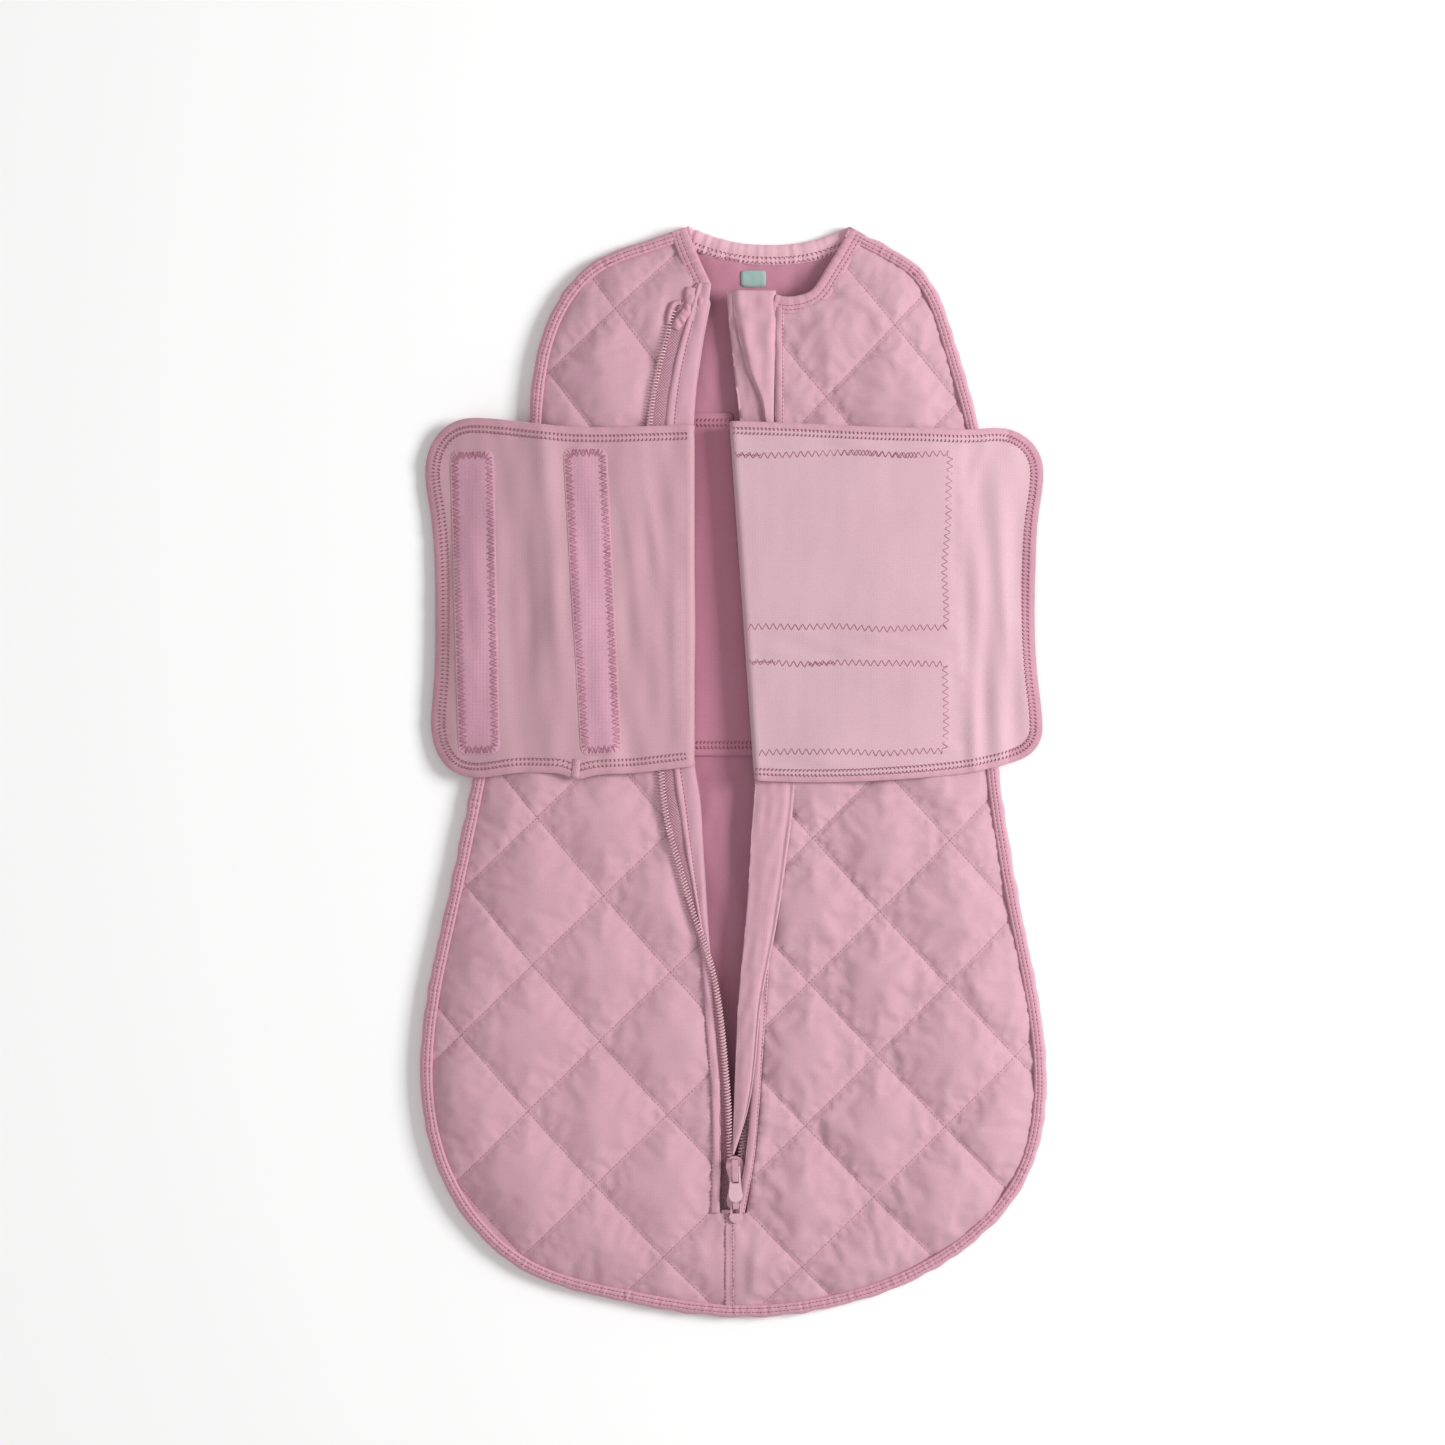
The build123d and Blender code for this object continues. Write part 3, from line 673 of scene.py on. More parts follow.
def quilted_front(name, side, polygon, lattice, material, spare, seed, nodes):
    """One quilted front: its pillows' tops, a level underside, and the quilting's stitches."""
    seams = clipped(diamond_seams(lattice, 1.9), polygon, 1.5)
    flat, triangles, tags = fill_in(polygon, seams, 3.1)
    base = front_height(flat)
    from_seam = nearest(flat, np.concatenate(seams))
    from_rim = nearest(flat, even(closed(polygon), 2.0))
    dip = SEAM_DIP * np.exp(-from_seam / 7.0)
    dip = np.maximum(dip, 0.9 * np.exp(-from_rim / 5.0))
    start = np.column_stack([flat, base - dip])
    top = settle(name + "_cloth", start, triangles, tags < 2, spare)
    pucker = waves(flat[:, 0], flat[:, 1], seed, 7.0, 7.0) * 0.16 * np.exp(-from_seam / 4.5)
    soft = waves(flat[:, 0], flat[:, 1], seed + 1, 30.0, 46.0) * 0.25 * (1 - np.exp(-from_seam / 9))
    top[:, 2] += (pucker + soft) * (tags == 2)
    top[:, 2] = np.minimum(top[:, 2], base + pressed(flat, side, from_rim))
    under = np.column_stack([flat, np.maximum(base - THICKEST, BACK_TOP + 0.25)])
    under[:, 2] = np.minimum(under[:, 2], top[:, 2] - 1.2)
    points, faces = two_skins(top, under, triangles, 0.6)
    piece = add_mesh(name, points, faces, material)
    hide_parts(*nodes)
    tree = surface_of(piece)
    stitched(name + "_stitches", tree, [dashes(line, STITCH) for line in seams], 0.02, 0.21, thread_soft)
    return tree


left_tree = quilted_front(
    "quilted_front_left", -1, left_panel, left_lattice, quilt_left, 0.020, 11,
    ("front_left_outer", "front_left_batting", "front_left_lining"))
right_tree = quilted_front(
    "quilted_front_right", 1, right_panel, right_lattice, quilt_right, 0.034, 23,
    ("front_right_outer", "front_right_batting", "front_right_lining"))


def front_surface(xy):
    """The quilted front's own height over each point, or the plain front's beyond it."""
    found = np.maximum(*[heights_on(tree, xy, -1)[0] for tree in (left_tree, right_tree)])
    return np.where(found > 1, found, front_height(xy))


# ---------------------------------------------------------------- the back
back_outline = beside(side_line, 7.0)
back_outline = back_outline[(back_outline[:, 1] < 338) | (np.abs(back_outline[:, 0] - 23) > 52)]
back_outline = np.concatenate([back_outline, [(70, 338), (46, 329.5), (23, 327.5), (0, 330), (-24, 338)]])
back_seams = clipped(diamond_seams(lambda m, n: (m * 44.5, -6 + n * 46.3), 3.0), back_outline, 2.0)
flat, triangles, tags = fill_in(back_outline, back_seams, 4.6, rows=(2.6,))
from_seam = nearest(flat, np.concatenate(back_seams))
from_rim = nearest(flat, even(closed(back_outline), 2.0))
hollow = 1.7 * np.exp(-(from_seam / 5.0) ** 1.3) + 0.5 * np.exp(-from_rim / 4.0)
hollow += 0.12 * np.abs(waves(flat[:, 0], flat[:, 1], 5, 9, 9)) * np.exp(-from_seam / 7)
under = np.column_stack([flat, 0.02 + hollow])
creases = waves(flat[:, 0], flat[:, 1], 7, 26, 90)
belt_zone = ease((15 - np.maximum(5 - flat[:, 1], flat[:, 1] - 233)) / 15)
lift = (0.45 * creases + 0.25 * waves(flat[:, 0], flat[:, 1], 8, 12, 34) + 0.3) * (1 - belt_zone)
top = np.column_stack([flat, BACK_TOP - 0.05 + np.clip(lift, -0.6, 1.2)])
points, faces = two_skins(top, under, triangles, 0.5)
back = add_mesh("quilted_back", points, faces, quilt_back)
# The back's inner side gets the lining colour, with its painted shade.
back.data.materials.append(lining)
inner = np.zeros(len(back.data.polygons), np.int32)
inner[:len(triangles)] = 1
back.data.polygons.foreach_set("material_index", inner)
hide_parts("back_outer_panel", "back_batting", "back_lining")
starts, ends = (np.concatenate(v) for v in zip(*[dashes(line, 3.0) for line in back_seams]))
depth = 0.02 + 1.7 * np.exp(-(nearest(starts, np.concatenate(back_seams)) / 5) ** 1.3)
starts = np.column_stack([starts, depth - 0.05])
ends = np.column_stack([ends, depth - 0.05])
threads("quilted_back_stitches", starts, ends, np.tile((0.0, 0.0, -1.0), (len(starts), 1)), 0.2, thread_soft)

# ---------------------------------------------------------------- side and hem binding
side_profile = [
    (8.3, 7.2), (8.3, 9.3), (7.9, 9.95), (7.2, 10.2), (6.6, 10.1), (6.2, 9.85), (5.8, 10.1), (5.0, 10.35),
    (4.2, 10.2), (3.6, 9.75), (3.1, 9.85), (2.2, 9.6), (1.2, 8.8), (0.5, 7.6), (0.1, 6.0), (0.0, 4.4),
    (0.3, 2.6), (1.0, 1.2), (2.2, 0.35), (4.0, 0.05), (6.5, 0.0), (8.0, 0.15), (8.3, 0.7), (8.1, 3.0),
]
RIGHT_SNAPS = [(142, 281), (152, 249), (155, 221)]
LEFT_SNAPS = [(-127.5, 262), (-131, 242), (-133, 221)]


def gathered(line, seed, swell):
    """The small waves and puckers of a bound edge."""
    run = np.arange(len(line), dtype=float)
    wave = waves(run, run * 0, seed, 17.0, 9.0) * swell
    small = waves(run, run * 0, seed + 1, 4.2, 4.0) * 0.13
    snaps_here = np.array(RIGHT_SNAPS + LEFT_SNAPS, float)

    def move(across, up):
        outer = np.clip(1 - across / 8.5, 0, 1)
        high = np.clip((up - 6) / 4, 0, 1)
        across = across + wave[:, None] * outer
        row = bumps(across, 6.2, 1.3) + bumps(across, 3.6, 1.3)
        up = up + small[:, None] * high * (0.5 + row) + 0.5 * wave[:, None] * high * outer
        place = line[:, None, :2] + left_of(line)[:, None] * across[..., None]
        for spot in snaps_here:
            d = np.linalg.norm(place - spot, axis=2)
            up = up + high * 0.45 * bumps(d, 2.8, 0.8)
        return across, up
    return move


side_binding = swept("side_binding_tape", side_line, side_profile, bound, gathered(side_line, 31, 0.22))
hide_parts("side_binding")
side_tree = surface_of(side_binding)
rows = [dashes(beside(side_line, across)[6:-6], 2.5, 0.72) for across in (3.6, 6.2)]
stitched("side_binding_stitches", side_tree, rows, 0.05, 0.24)

# ---------------------------------------------------------------- neck
neck_inward = neck_line[::-1]
back_neck_profile = [
    (-13.3, 4.9), (-13.1, 5.9), (-12.4, 6.25), (-11.0, 6.1), (-9.5, 6.3), (-8.0, 6.1), (-6.8, 6.5),
    (-4.0, 6.7), (-1.6, 6.4), (-0.4, 5.4), (0.0, 3.6), (-0.3, 1.6), (-1.4, 0.4), (-4.0, 0.0),
    (-12.6, 0.0), (-13.3, 0.8),
]
neck_run = np.arange(len(neck_inward), dtype=float)
neck_gather = waves(neck_run, neck_run * 0, 51, 5.5, 5.0) * (0.18 + 0.5 * np.exp(-neck_run / 16))


def neck_wobble(across, up):
    """The gathers of the back neck's binding."""
    high = np.clip((up - 3.5) / 3, 0, 1)
    return across + 0.5 * neck_gather[:, None] * (across > -3), up + neck_gather[:, None] * high


# The back neck's binding takes the lighter copy of the binding jersey, with its painted light.
back_neck = swept("back_neck_binding_tape", neck_inward, back_neck_profile, neck_binding_painted_light, neck_wobble)
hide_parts("back_neck_binding")
stitched("back_neck_stitches", back_neck, ladder(neck_inward[3:-3], -8.2, -12.3, 2.7), 0.08, 0.3)

band_profile = [
    (0.0, -2.4), (0.1, -0.4), (0.7, 0.7), (1.9, 1.25), (3.6, 1.4), (5.2, 1.2), (6.0, 0.9), (6.8, 1.15),
    (7.9, 1.15), (8.8, 0.8), (9.6, 1.0), (10.6, 0.9), (11.4, 0.35), (11.6, -1.0), (9.0, -2.8), (3.0, -4.2),
]


def neck_band(name, edge, mirror, node_name):
    """The front neck edge's binding, with its two rows of stitches."""
    line = smooth_line(edge, 0.8)
    if mirror:
        line = line[::-1]
    middle = beside(line, 5.5)
    height = front_height(middle)
    height = evened(height, 9)
    run = np.arange(len(line), dtype=float)
    small = waves(run, run * 0, 61, 6.0, 6.0) * 0.14
    band = swept(name, line, band_profile, bound, lambda across, up: (across, up + small[:, None]), height)
    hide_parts(node_name)
    pairs = [dashes(beside(line, across)[3:-3], 2.6, 0.72) for across in (6.0, 8.8)]
    stitched(name + "_stitches", band, pairs, 0.06, 0.24)


neck_band("front_left_neck_tape", [(-14.6, 313.5), (-20, 325), (-25.6, 338.5), (-29.6, 350.0)], False,
          "front_left_neck_binding")
neck_band("front_right_neck_tape",
          [(27.2, 306.0), (33, 304.6), (40, 305.0), (48.5, 307.8), (56.5, 318), (65.5, 333), (74.9, 350.0)],
          True, "front_right_neck_binding")


# ---------------------------------------------------------------- strips round the opening
def laid_strip(name, left, right, material, thick=0.8, low=0.05, crown=0.35,
               steps=9, replaced=(), seed=0, under=None, ripple=0.1, body="root"):
    """A soft strip between two lines that run up the bag, lying on the front's own surface."""
    left, right = smooth_line(left, 1.6), smooth_line(right, 1.6)
    n = min(len(left), len(right))
    share = np.linspace(0, 1, n)
    left, right = (np.stack([np.interp(share, np.linspace(0, 1, len(v)), v[:, i]) for i in (0, 1)], axis=1)
                   for v in (left, right))
    across = np.linspace(0, 1, steps)
    xy = between(left, right, across)
    if under is None:
        z = front_surface(xy.reshape(-1, 2)).reshape(n, steps)
        z = np.maximum(z, np.percentile(z, 60, axis=1)[:, None] - 0.8)
        z = np.apply_along_axis(evened, 0, z, 4)
    else:
        z = np.array([[under(x, y, c) for (x, y), c in zip(row, across)] for row in xy])
    crown_at = np.sin(np.pi * across) ** 0.6
    wave = waves(xy[..., 0], xy[..., 1], 70 + seed, 9.0, 15.0) * ripple
    top = z + low + thick * (0.35 + 0.65 * crown_at) + crown * crown_at + wave
    bottom = z + low + thick * 0.35 * (1 - crown_at)
    strip = skinned(name, layered(xy, top, bottom), material, body)
    if replaced:
        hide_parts(*replaced)
    return strip


def edge_row(name, strip, lines):
    """A row of stitches down a strip along each line."""
    stitched(name, strip, [dashes(smooth_line(line, 1), STITCH) for line in lines], 0.04, 0.22, thread_soft)


left_placket_edge = [(-9.0, -282.5), (-9.0, -200), (-13.0, -150), (-16.4, -112), (-19.8, -97), (-25.4, -80)]
right_placket_edge = [(x, y) for x, y in zip(RIGHT_STRIP_X, STRIP_Y) if y < 290] + [(32.3, 298)]
for word, edge, thick, row_at, seed in (("left", left_placket_edge, 0.9, 5.0, 1),
                                        ("right", right_placket_edge, 1.2, 0.8, 2)):
    placket = laid_strip(word + "_placket_strip", [(x - 5.7, y) for x, y in edge], edge, facing_cloth,
                         thick=thick, low=0.3, replaced=(word + "_placket",), seed=seed)
    edge_row(word + "_placket_stitches", placket, [[(x - row_at, y) for x, y in edge]])

seam_tape = laid_strip("foot_seam_strip", [(-5.6, -343.5), (-5.6, -283.5)], [(0.2, -343.5), (0.2, -283.5)],
                       facing_cloth, thick=0.7, crown=0.2, replaced=("foot_seam_tape",), seed=3)
edge_row("foot_seam_stitches", seam_tape, [[(x, -343), (x, -284)] for x in (-4.9, -0.5)])

# The left edge is rolled outwards: the facing folds over the edge and shows its inside.
roll_y = [-116, -90, -62, -37, -15, 2, 60, 140, 223, 248, 276, 297, 314]
facing_edge_x = [-15.6, -17.3, -19.3, -20.6, -22.4, -25.2, -25.8, -26.0, -26.2, -24.4, -20.4, -16.8, -14.4]
piping_x = [-18.2, -23.0, -28.2, -32.4, -35.8, -38.2, -39.8, -41.4, -43.4, -40.0, -33.6, -27.0, -22.2]
coil_x = [-20.6, -27.2, -35.0, -42.2, -45.4, -47.6, -49.4, -51.6, -55.0, -51.6, -44.4, -37.0, -24.4]
roll_line = {k: smooth_line(list(zip(v, roll_y)), 1.5) for k, v in
             (("facing", facing_edge_x), ("piping", piping_x), ("coil", coil_x))}
rows_up = np.arange(-116.0, 314.5, 1.5)


def across_roll(key):
    """Where one of the roll's lines is at each row up the roll."""
    line = roll_line[key]
    return np.interp(rows_up, line[:, 1], line[:, 0])


def rolled_strip(name, x0, x1, section, material, replaced, seed, ripple):
    """A soft closed section between two of the roll's lines; section is (share across, height)."""
    section = np.array(section, float)
    x = x0[:, None] + (x1 - x0)[:, None] * section[None, :, 0]
    y = np.broadcast_to(rows_up[:, None], x.shape)
    fade = ease((rows_up + 118) / 26)[:, None] * (0.7 + 0.3 * ease((315 - rows_up) / 20))[:, None]
    base = front_height(np.column_stack([(x0 + x1) / 2, rows_up]))[:, None]
    height = section[None, :, 1]
    z = base + height * fade + waves(x, y, seed, 10.0, 26.0) * ripple * (height > 0.5)
    strip = skinned(name, tube(np.stack([x, y, z], axis=2)), material)
    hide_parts(replaced)
    return strip


facing_section = [(0.0, -4.6), (-0.06, -2.2), (-0.05, 0.0), (0.0, 1.6), (0.12, 2.5), (0.3, 2.8), (0.48, 2.7),
                  (0.6, 2.35), (0.68, 2.2), (0.76, 2.9), (0.86, 3.5), (0.95, 3.3), (1.02, 2.5), (1.03, 1.4),
                  (0.98, 0.4), (0.5, 0.3), (0.2, -1.0), (0.12, -4.6)]
facing = rolled_strip("left_facing_roll", across_roll("facing"), across_roll("piping"), facing_section,
                      facing_cloth, "left_facing", 81, 0.22)
top_rows = rows_up[(rows_up > -100) & (rows_up < 290)]
mix = 0.665
stitch_x = np.interp(top_rows, rows_up, across_roll("facing") * (1 - mix) + across_roll("piping") * mix)
stitched("left_facing_stitches", facing, [dashes(np.column_stack([stitch_x, top_rows]), STITCH)], 0.04, 0.22)

tape_section = [(-0.06, 2.0), (0.1, 2.15), (0.35, 2.2), (0.6, 1.9), (0.85, 1.45), (1.0, 1.1), (1.02, 0.7),
                (0.85, 0.9), (0.5, 1.5), (0.1, 1.7), (-0.06, 1.5)]
tape_left = rolled_strip("zipper_tape_left_roll", across_roll("piping"), across_roll("coil") + 1.4,
                         tape_section, tape_cloth, "zipper_tape_left", 83, 0.05)

# ---------------------------------------------------------------- zipper
ZIP_FOOT, ZIP_HEAD = np.array((1.0, -257.0)), np.array((-11.5, 224.0))


def slide_x(y):
    """Where the sliders' straight path is at a height."""
    return ZIP_FOOT[0] + (y - ZIP_FOOT[1]) * (ZIP_HEAD[0] - ZIP_FOOT[0]) / (ZIP_HEAD[1] - ZIP_FOOT[1])


CHAIN_GAP = 2.4
COIL_Z = 14.0
ROLLED_COIL_Z = 20.1
left_chain = [(slide_x(-280) - CHAIN_GAP, -280, COIL_Z), (slide_x(-257) - CHAIN_GAP, -257, COIL_Z),
              (-2.2, -247, 14.6), (-3.0, -222, 16.8), (-5.2, -190, 18.4), (-9.0, -152, 19.8),
              (-13.8, -126, 20.6), (-18.6, -110, 20.8), (-26.4, -88, 20.5)]
left_chain += [(x, y, ROLLED_COIL_Z - fall) for x, y, fall in (
    (-34.2, -62, 0), (-41.3, -37, 0), (-46.6, 2, 0), (-50.4, 140, 0), (-53.8, 223, 0.1), (-50.4, 248, 0.3),
    (-45.8, 268, 0.5), (-41.2, 286, 0.9), (-38.4, 296, 1.4))]
right_chain = [(x, y, COIL_Z) for x, y in (
    (slide_x(-280) + CHAIN_GAP, -280), (slide_x(-257) + CHAIN_GAP, -257), (4.9, -244), (7.2, -205),
    (12.6, -100), (15.6, 0), (16.8, 110), (17.2, 238))] + [(18.3, 290, COIL_Z - 1)]


HALF_WIDTH, HALF_HEIGHT, WIRE, PITCH = 1.9, 1.0, 0.46, 2.05    # a coil's turns


def coil(name, route, node_name):
    """Half of a zipper chain: nylon thread wound in a flat coil along its route."""
    line = smooth_line(route, 0.5)
    s = run_along(line)
    turns = s[-1] / PITCH
    t = np.linspace(0, 1, int(turns * 9))
    centre = np.stack([np.interp(t * s[-1], s, line[:, i]) for i in range(3)], axis=1)
    along = unit(np.gradient(centre, axis=0))
    side = unit(np.cross(along, (0, 0, 1.0)))
    up = np.cross(side, along)
    angle = (2 * np.pi * turns * t)[:, None]
    wound = centre + side * np.sin(angle) * HALF_WIDTH + up * np.cos(angle) * HALF_HEIGHT
    heading = unit(np.gradient(wound, axis=0))
    other = unit(np.cross(heading, unit(wound - centre)))
    out = np.cross(other, heading)
    angles = (np.arange(SIDES) * 2 * np.pi / SIDES)[None, :, None]
    rings = wound[:, None] + WIRE * (out[:, None] * np.cos(angles) + other[:, None] * np.sin(angles))
    points, faces = tube(rings)
    piece = add_mesh(name, points, faces, nylon)
    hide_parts(node_name)


coil("zipper_coil_left_wound", left_chain, "zipper_coil_left")
coil("zipper_coil_right_wound", right_chain, "zipper_coil_right")


def tape_under(name, chain, out, width, below, node_name):
    """The woven tape that a chain is sewn to, from the chain's far side to under the front."""
    line = smooth_line(chain, 1.5)
    line = line[line[:, 1] < 292]
    inner, outer = line[:, :2] - np.array([out * 1.4, 0]), line[:, :2] + np.array([out * width, 0])
    across = np.linspace(0, 1, 7)
    z = (line[:, 2] - 1.7)[:, None] - below * ease(across * 2.2)[None]
    skin = layered(between(inner, outer, across), z + 0.45, z - 0.05)
    piece = skinned(name, skin, tape_cloth)
    if node_name:
        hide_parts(node_name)


lower_left = [(slide_x(-289) - CHAIN_GAP, -289, COIL_Z)] + [p for p in left_chain if p[1] < -120]
tape_under("zipper_tape_left_foot", lower_left, -1, 9.5, 2.2, None)
whole_right = [(slide_x(-289) + CHAIN_GAP, -289, COIL_Z)] + right_chain
tape_under("zipper_tape_right_woven", whole_right, 1, 9.5, 1.0, "zipper_tape_right")

# ---------------------------------------------------------------- wind guard
guard_y = [-245, -216, -184, -150, -111, -82, -62, -29, -3, 60, 150, 214]
guard_left_x = [-0.9, 0.2, 1.4, 2.9, 6.4, 8.9, 10.2, 12.2, 14.2, 13.0, 9.6, 6.0]
guard_right_x = [0.4, 9.3, 14.4, 17.6, 25.0, 30.2, 33.0, 37.4, 39.6, 37.0, 31.0, 27.6]


def guard_height(x, y, c):
    """The flap's height: it dips into the opening at its left edge and folds at its right."""
    deep = 16.6 + 1.6 * ease((y + 245) / 60)
    high = 18.7 + 1.2 * ease((y + 245) / 90)
    high = 16.4 + (high - 16.4) * ease((y + 250) / 34)
    fold = 0.75 * bumps(c, 0.955, 0.03) - 0.35 * bumps(c, 0.87, 0.05)
    return deep + (high - deep) * ease(c * 1.25) + fold * ease((y + 236) / 30)


guard = laid_strip("zipper_guard_flap", list(zip(guard_left_x, guard_y)), list(zip(guard_right_x, guard_y)),
                   flap_cloth, thick=1.1, low=0.0, crown=0.25, steps=33, replaced=("zipper_guard",), seed=5,
                   under=guard_height, ripple=0.13)
top_y = [205, 225, 238, 257, 264, 285, 308.2]
under_left = [6.2, 4.2, 2.6, 0.4, -0.3, -2.6, -4.4]
crease_x = [24.0, 19.6, 17.0, 8.6, 6.8, 1.8, -1.8]
seam_right = [25.4, 25.8, 26.0, 26.4, 26.6, 27.0, 27.3]
guard_under = laid_strip(
    "zipper_guard_under_layer", list(zip(under_left, top_y)), [(x + 3.5, y) for x, y in zip(crease_x, top_y)],
    flap_cloth, thick=0.9, low=0.0, crown=0.3, seed=6, ripple=0.2,
    under=lambda x, y, c: 14.6 + 1.8 * ease(c) + 0.9 * ease((y - 262) / 46))


def over_height(x, y, c):
    """The upper layer's height: pleated at its left, lower at its right edge and at the neck."""
    pleats = 0.9 * math.sin(c * 9.0) * ease((y - 215) / 80) * (1 - c) ** 0.4 * (c > 0)
    falls = 0.8 * ease((c - 0.9) / 0.1) + 0.9 * ease((y - 270) / 40)
    return 17.4 + 1.5 * ease(c * 5) + 0.4 * (1 - c) + pleats - falls


guard_upper = laid_strip(
    "zipper_guard_upper_fold", list(zip(crease_x, top_y)), list(zip(seam_right, top_y)), flap_cloth,
    thick=1.3, low=0.0, crown=0.2, steps=25, seed=7, ripple=0.22, under=over_height)

# ---------------------------------------------------------------- zipper's top end
def folded_tab(name, centre_line, width, seed, rise, crumple, node_name=None):
    """A short crumpled tab of binding, folded double."""
    line = smooth_line(centre_line, 0.7)
    across = np.linspace(-0.5, 0.5, 11)
    normal = left_of(line)
    xy = line[:, None, :2] + normal[:, None] * (across * width)[None, :, None]
    run = np.broadcast_to(np.arange(len(line))[:, None] * 0.7, xy.shape[:2])
    wave = waves(run, xy[..., 0], seed, 4.6, 7.0) * crumple
    hump = np.sin(np.pi * (across + 0.5)) ** 0.5
    top = line[:, 2][:, None] + rise * hump[None] + wave
    bottom = np.broadcast_to((line[:, 2] - 0.4)[:, None], xy.shape[:2])
    piece = skinned(name, layered(xy, top, bottom), bound)
    if node_name:
        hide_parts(node_name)


folded_tab("zipper_garage_fold",
           [(-37.6, 283.5, 19.2), (-34.8, 288, 20.2), (-31.0, 293, 20.4), (-27.6, 298.5, 19.4)],
           6.6, 91, 1.7, 0.3, "zipper_garage_tab")
folded_tab("zipper_garage_loop",
           [(-41.8, 287, 18.4), (-40.6, 294, 19.0), (-37.6, 299.6, 19.2), (-33.4, 300.6, 18.6)],
           3.4, 92, 1.5, 0.15)
folded_tab("left_neck_band_end",
           [(-27.0, 310, 18.0), (-27.6, 306, 19.2), (-27.4, 301.6, 19.6), (-26.2, 297, 18.8)],
           7.0, 93, 1.6, 0.22)
folded_tab("left_zipper_end_tuck",
           [(-21.4, 305, 18.4), (-21.0, 302, 19.4), (-21.8, 298.6, 19.6), (-23.2, 295.6, 18.8)],
           4.2, 94, 1.4, 0.2)

# ---------------------------------------------------------------- swaddle belt and wings
FOLD_SLOPE = (-2.2 - 13.6) / (224.0 + 4.4)
WING_THICK = 1.5
LEVEL_FROM = 6.0        # past the fold, where a wing lies level


def fold_x(side, y):
    """Where a wing's fold is at a height."""
    return np.full(np.shape(y), -25.2) if side < 0 else 13.6 + (np.asarray(y) + 4.4) * FOLD_SLOPE


WING_FALL = {
    -1: [(0, 23.0), (60, 23.0), (92, 22.9), (115, 21.9), (142, 18.4), (171, 11.8), (186, 7.6), (201, 4.2)],
    1: [(-12, 24.0), (40, 24.0), (90, 23.9), (116, 22.8), (144, 19.4), (175, 11.8), (190, 7.6), (203, 4.2)],
}
FALL_LINE = {side: smooth_line(points, 1.0) for side, points in WING_FALL.items()}
# Through a fold: how far past the fold line, and the height below the level part.
FOLD_CURVE = smooth_line([(0.4, -16.2), (0.4, -9.0), (0.4, -4.0), (0.75, -1.7), (2.0, -0.15), (4.0, 0.12),
                          (LEVEL_FROM, 0.0)], 0.4)
FOLD_RUN = run_along(FOLD_CURVE)
FOLD_RUN = FOLD_RUN - FOLD_RUN[-1] + LEVEL_FROM
RISER = FOLD_RUN[0] + 0.6    # where the cloth under a fold ends, down in the opening


def wing_middle(side, w, y):
    """The middle of a wing's cloth, a distance past its fold: the place across and up."""
    past = np.where(w < LEVEL_FROM, np.interp(w, FOLD_RUN, FOLD_CURVE[:, 0]), w)
    x = fold_x(side, y) + side * past
    z = np.interp(side * x, FALL_LINE[side][:, 0], FALL_LINE[side][:, 1])
    level = WING_FALL[side][0][1]
    z = np.where(w < LEVEL_FROM, level + np.interp(w, FOLD_RUN, FOLD_CURVE[:, 1]), z)
    return x, z


def left_relief(x, y):
    """The left wing's soft folds, as a height over its middle."""
    ridge = 2.3 * bumps(x, -117 + 3 * np.sin(y / 50), 7) * ease((y - 40) / 90)
    ridge += 1.6 * bumps(x, -35 - (y - 60) * 0.04, 6) * bumps(y, 50, 80)
    for at, bottom, width in ((-66, 148, 1.6), (-58, 132, 1.9), (-52, 160, 1.7)):
        ridge += 0.85 * bumps(x, at - (y - bottom) * 0.17, width) * bumps(y, bottom, 30)
    ridge -= 0.9 * bumps(x, -136, 9) + 0.7 * bumps(x, -72 - (y - 100) * 0.05, 8)
    return ridge + 0.7 * waves(x, y, 101, 44, 150) + 0.35 * waves(x, y, 102, 17, 60)


UPPER_PATCH = [(2.5, 205.5), (140, 205.5), (137.5, 90.5), (10, 90.5)]
LOWER_PATCH = [(12, 71.8), (138, 71.8), (137.6, 10.6), (17, 10.6)]


def patch_lift(x, y, corners):
    """How far a stiff patch under the cloth presses it up, from its four sides."""
    low, high = min(c[1] for c in corners), max(c[1] for c in corners)
    far = max(c[0] for c in corners)
    edge = np.minimum(np.minimum(y - low, high - y), far - x)
    return ease((edge + 1.2) / 2.4)


def right_relief(x, y):
    """The right wing's soft folds: flat over the loop patches, creased beyond them."""
    patches = np.maximum(patch_lift(x, y, UPPER_PATCH), patch_lift(x, y, LOWER_PATCH))
    loose = ease((x - 139) / 10)
    crease = 1.2 * bumps(x, 158 + (y - 110) * 0.03, 4) * bumps(y, 60, 90) - 1.0 * bumps(x, 149, 3.4)
    crease += 1.5 * bumps(x, 175 - (y - 80) * 0.07, 3.2) * bumps(y, 95, 42)
    crease += 1.2 * bumps(x, 165, 4) * bumps(y, 50, 40)
    crease += 1.2 * bumps(x, 156 + (y - 195) * 0.3, 4) * bumps(y, 195, 18)
    relief = 0.45 * patches + loose * (crease + 0.8 * waves(x, y, 112, 20, 90))
    relief += (1 - patches) * (1 - loose) * 0.35 * waves(x, y, 113, 30, 12)
    return relief + 0.16 * waves(x, y, 111, 60, 80) + 0.05 * waves(x, y, 114, 14, 30)


